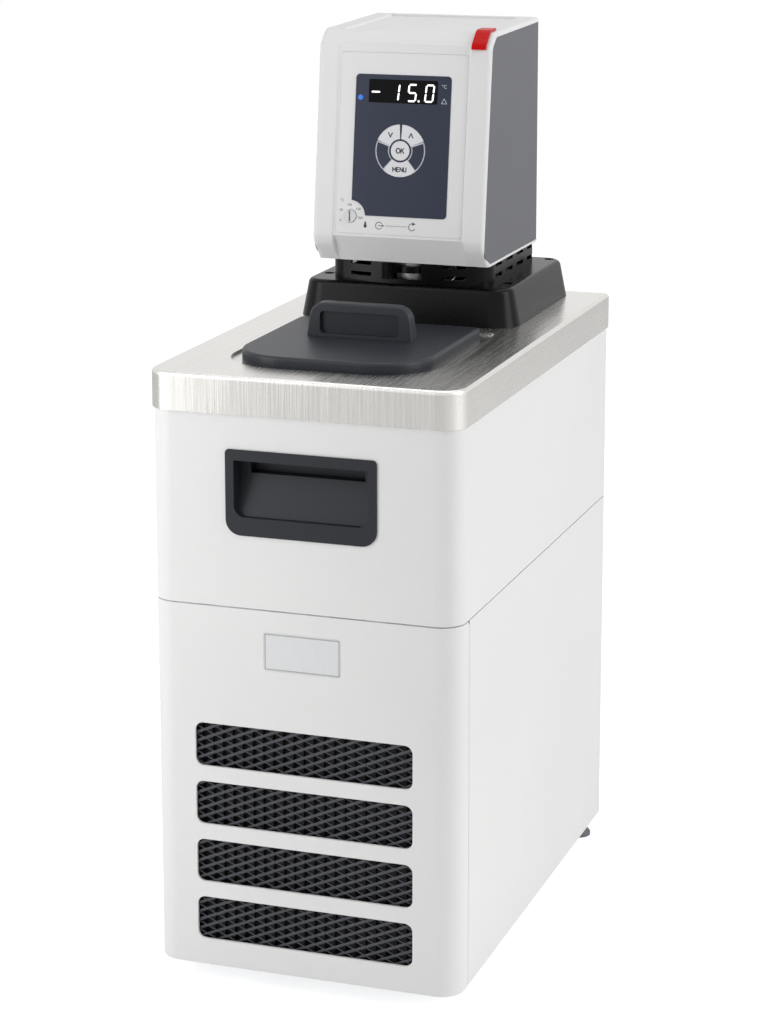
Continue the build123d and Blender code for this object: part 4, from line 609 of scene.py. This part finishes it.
# Capitals as a width and lines of corner points, all for a height of 1
LETTER_GAP = 0.24
CAPITALS = {
    "E": (0.56, [[(0.56, 0), (0, 0), (0, 1), (0.56, 1)], [(0, 0.53), (0.5, 0.53)]]),
    "K": (0.64, [[(0, 0), (0, 1)], [(0.6, 1), (0, 0.4)], [(0.22, 0.62), (0.64, 0)]]),
    "M": (0.8, [[(0, 0), (0, 1), (0.4, 0.3), (0.8, 1), (0.8, 0)]]),
    "N": (0.64, [[(0, 0), (0, 1), (0.64, 0), (0.64, 1)]]),
    "O": (0.84, [arc(0, 0, 0.5, 0, 360, 21) * (0.84, 1) + (0.42, 0.5)]),
    "U": (0.62, [np.vstack([[(0, 1)], arc(0.31, 0.31, 0.31, 180, 360, 9), [(0.62, 1)]])]),
}


def lettering(name, words, x, height, size, out, body, material):
    """A word on the panel, centred on a place across and a height over the deck."""
    curve = bpy.data.curves.new(name, "FONT")
    curve.body = words
    curve.size = size
    curve.align_x, curve.align_y = "CENTER", "CENTER"
    curve.extrude = PRINT_T / 2
    curve.resolution_u = 4
    holder = bpy.data.objects.new(name + "_curve", curve)
    mesh = bpy.data.meshes.new_from_object(holder)
    mesh.name = name
    mesh.transform(PANEL @ Matrix.Scale(MM, 4) @ Matrix.Translation((x, rise(height), out + PRINT_T / 2)))
    bpy.data.objects.remove(holder)
    mesh.materials.clear()
    return place_piece(mesh, body, material)


def word(letters, x, y, tall, weight):
    """Outlines of a word in capitals, centred on a place: each letter's strokes, set side by side."""
    gap = tall * LETTER_GAP
    length = sum(CAPITALS[letter][0] for letter in letters) * tall + gap * (len(letters) - 1)
    left, shapes = x - length / 2, []
    for letter in letters:
        breadth, lines = CAPITALS[letter]
        for line in lines:
            shapes += stroke(np.array(line) * tall + (left, y - tall / 2), weight)
        left += breadth * tall + gap
    return shapes


def display_marks(lit, pale):
    """The lit figures, the unit and the alarm sign beside them."""
    shapes = digit(ONES_X, "afgcd") + digit(TENTHS_X, "abcdef") + digit(TENS_X, "bc")
    middle = rise(MINUS_Z)
    shapes.append(segment((MINUS_START, middle), (MINUS_END, middle)))
    shapes.append(disc(POINT_X, rise(DIGIT_LOW) + POINT_RISE, POINT_R, count=12))
    mark("display_figures", shapes, WINDOW_PROUD + 2 * PRINT_GAP, "cabinet", lit)
    out = FOIL_T + PRINT_GAP
    base, top = rise(ALARM_LOW), rise(ALARM_TOP)
    triangle = [(ALARM_X - ALARM_HALF, base), (ALARM_X + ALARM_HALF, base), (ALARM_X, top)]
    mark("alarm_sign", stroke(triangle, ALARM_LINE, closed=True), out, "cabinet", pale)
    lettering("unit_mark", "°C", UNIT_X, UNIT_Z, UNIT_SIZE, out, "cabinet", pale)


def key_marks(dark, pale):
    """Legends of the keys and the outlines of the two blank places in the ring."""
    out = KEY_PROUD + PRINT_GAP
    centre = rise(RING_Z)
    middle = (RING_INNER + RING_OUTER) / 2
    for name, angle, way in (("key_down", DOWN_ANGLE, -1), ("key_up", UP_ANGLE, 1)):
        x = RING_X + middle * math.cos(math.radians(angle))
        y = centre + middle * math.sin(math.radians(angle))
        foot, tip = y - way * ARROW_RISE, y + way * ARROW_RISE
        chevron = [(x - ARROW_HALF, foot), (x, tip), (x + ARROW_HALF, foot)]
        mark(name + "_sign", stroke(chevron, ARROW_LINE), out, name, dark)
    confirm = word("OK", RING_X, centre, OK_TALL, OK_LINE)
    mark("key_ok_word", confirm, out, "key_ok", dark)
    menu = word("MENU", RING_X, rise(RING_Z - middle * MENU_DROP), MENU_TALL, MENU_LINE)
    mark("key_menu_word", menu, out, "key_menu", dark)
    for name, (start, end) in (("ring_left", BLANK_LEFT), ("ring_right", BLANK_RIGHT)):
        inner = arc(RING_X, centre, RING_INNER + BLANK_INNER_GAP, start, end, count=14)
        outer = arc(RING_X, centre, RING_OUTER - BLANK_OUTER_GAP, end, start, count=22)
        outline = stroke(np.vstack([inner, outer]), BLANK_LINE, closed=True)
        mark(name, outline, FOIL_T + PRINT_GAP, "cabinet", pale)


def dial_marks(dark):
    """Numbers round the cut-out dial, and the line across the dial itself."""
    for words, angle in SCALE_ANGLES.items():
        x = DIAL_X + SCALE_R * math.cos(math.radians(angle))
        height = DIAL_Z + SCALE_R * math.sin(math.radians(angle))
        lettering(f"dial_{words}", words, x, height, SCALE_SIZE, PRINT_GAP, "cabinet", dark)
    lettering("dial_unit", "°C", SCALE_UNIT_X, SCALE_UNIT_Z, SCALE_UNIT_SIZE, PRINT_GAP, "cabinet", dark)
    base = rise(DIAL_Z)
    slot_line = [(DIAL_X + SLOT_LEAN, base - SLOT_HALF), (DIAL_X - SLOT_LEAN, base + SLOT_HALF)]
    mark("dial_line", stroke(slot_line, SLOT_LINE), DIAL_PROUD + PRINT_GAP, "cutout_dial", dark)


def flow_marks(dark):
    """Signs for a drop, the way in and the way out, with a dotted line between the ways."""
    y = rise(FLOW_Z)
    bulb = arc(DROP_X, y - DROP_SINK, DROP_R, *DROP_ARC, count=14)
    drop = np.vstack([bulb, np.array(DROP_TIP) + (DROP_X, y)])
    way_in = stroke(arc(IN_X, y, FLOW_R, *IN_ARC), FLOW_LINE)
    way_in += stroke(np.array(IN_SHAFT) + (IN_X, y), FLOW_LINE)
    way_in.append(np.array(IN_HEAD) + (IN_X, y))
    way_out = stroke(arc(OUT_X, y, FLOW_R, *OUT_ARC), FLOW_LINE)
    way_out.append(np.array(OUT_HEAD) + (OUT_X, y))
    dots = [disc(x, y, DOT_R, count=10) for x in np.arange(DOT_START, DOT_END, DOT_STEP)]
    signs = [drop] + way_in + way_out + dots
    mark("flow_signs", signs, PRINT_GAP, "cabinet", dark)


def aim(obj, target):
    """Turns a lamp so that it shines at a place."""
    way = Vector(target) - obj.location
    obj.rotation_mode = "QUATERNION"
    obj.rotation_quaternion = way.to_track_quat("-Z", "Y")


def lamp(name, place, width, height, power):
    """A soft lamp with a rectangular face."""
    light = bpy.data.lights.new(name, "AREA")
    light.shape = "RECTANGLE"
    light.size, light.size_y = width, height
    light.energy = power
    obj = bpy.data.objects.new(name, light)
    obj.location = place
    bpy.context.scene.collection.objects.link(obj)
    aim(obj, LAMP_TARGET)


def light_the_room():
    """White surroundings where they are seen or mirrored, dimmer ones as fill, and the lamps."""
    world = bpy.data.worlds.new("studio")
    bpy.context.scene.world = world
    world.use_nodes = True
    nodes, links = world.node_tree.nodes, world.node_tree.links
    backdrop = nodes["Background"]
    path = nodes.new("ShaderNodeLightPath")
    seen = path.outputs["Is Camera Ray"]
    for kind in ("Is Transmission Ray", "Is Glossy Ray"):
        either = nodes.new("ShaderNodeMath")
        either.operation = "MAXIMUM"
        links.new(seen, either.inputs[0])
        links.new(path.outputs[kind], either.inputs[1])
        seen = either.outputs[0]
    strength = nodes.new("ShaderNodeMapRange")
    links.new(seen, strength.inputs["Value"])
    strength.inputs["To Min"].default_value = FILL_LIGHT
    strength.inputs["To Max"].default_value = 1.0
    backdrop.inputs["Color"].default_value = (1, 1, 1, 1)
    links.new(strength.outputs[0], backdrop.inputs["Strength"])
    for name, (place, width, height, power) in LAMPS.items():
        lamp(name, place, width, height, power)


def floor():
    """A pale floor, flat and wide, that keeps the object's shadow."""
    f = Finish("pale_floor", roughness=0.9)
    seen = f.add("ShaderNodeLightPath", output="Is Camera Ray")
    mirrored = f.add("ShaderNodeLightPath", output="Is Glossy Ray")
    cloud = f.noise(2.0, detail=2.0)
    shown = seen.most(mirrored * MIRRORED_SHARE)
    f.feed({"Base Color": f.mix(cloud, linear(246, 246, 246), linear(250, 250, 250)),
            "Emission Color": f.mix(shown, BLACK, FLOOR_GLOW), "Emission Strength": 1.0})
    corners = [(-1, -1), (1, -1), (1, 1), (-1, 1)]
    mesh = bpy.data.meshes.new("floor")
    mesh.from_pydata([(x * FLOOR_HALF, y * FLOOR_HALF, FLOOR_Z) for x, y in corners], [], [(0, 1, 2, 3)])
    mesh.materials.append(f.material)
    obj = bpy.data.objects.new("floor", mesh)
    bpy.context.scene.collection.objects.link(obj)


def camera():
    """A long lens a little above the deck, from the right of the front."""
    level, sink = math.cos(CAMERA_PITCH), math.sin(CAMERA_PITCH)
    cos_turn, sin_turn = math.cos(CAMERA_AZIMUTH), math.sin(CAMERA_AZIMUTH)
    cos_roll, sin_roll = math.cos(CAMERA_ROLL), math.sin(CAMERA_ROLL)
    forward = Vector((-sin_turn * level, cos_turn * level, -sink))
    right = Vector((cos_turn, sin_turn, 0))
    up = right.cross(forward)
    right, up = right * cos_roll + up * sin_roll, up * cos_roll - right * sin_roll
    data = bpy.data.cameras.new("camera")
    data.sensor_width = SENSOR
    data.lens = FOCAL_PIXELS / IMAGE_HEIGHT * SENSOR
    data.shift_y = CAMERA_SHIFT_Y
    obj = bpy.data.objects.new("camera", data)
    bpy.context.scene.collection.objects.link(obj)
    turn = Matrix((right, up, -forward)).transposed().to_4x4()
    obj.matrix_world = Matrix.Translation(CAMERA_PLACE) @ turn
    bpy.context.scene.camera = obj


PANEL = panel_matrix()
make_finishes()
grid_metal = fine_paint("grid_metal", linear(82, 84, 90), linear(60, 62, 68), 0.34)
white_lit = glow("figure_light", linear(255, 255, 255), 1.0)
dark_ink = ink("dark_ink", linear(40, 43, 54))
pale_ink = ink("pale_ink", linear(206, 209, 216))
vent_grid(grid_metal)
display_marks(white_lit, pale_ink)
key_marks(dark_ink, pale_ink)
dial_marks(dark_ink)
flow_marks(dark_ink)
light_the_room()
floor()
camera()
bpy.context.scene.view_settings.view_transform = "Standard"
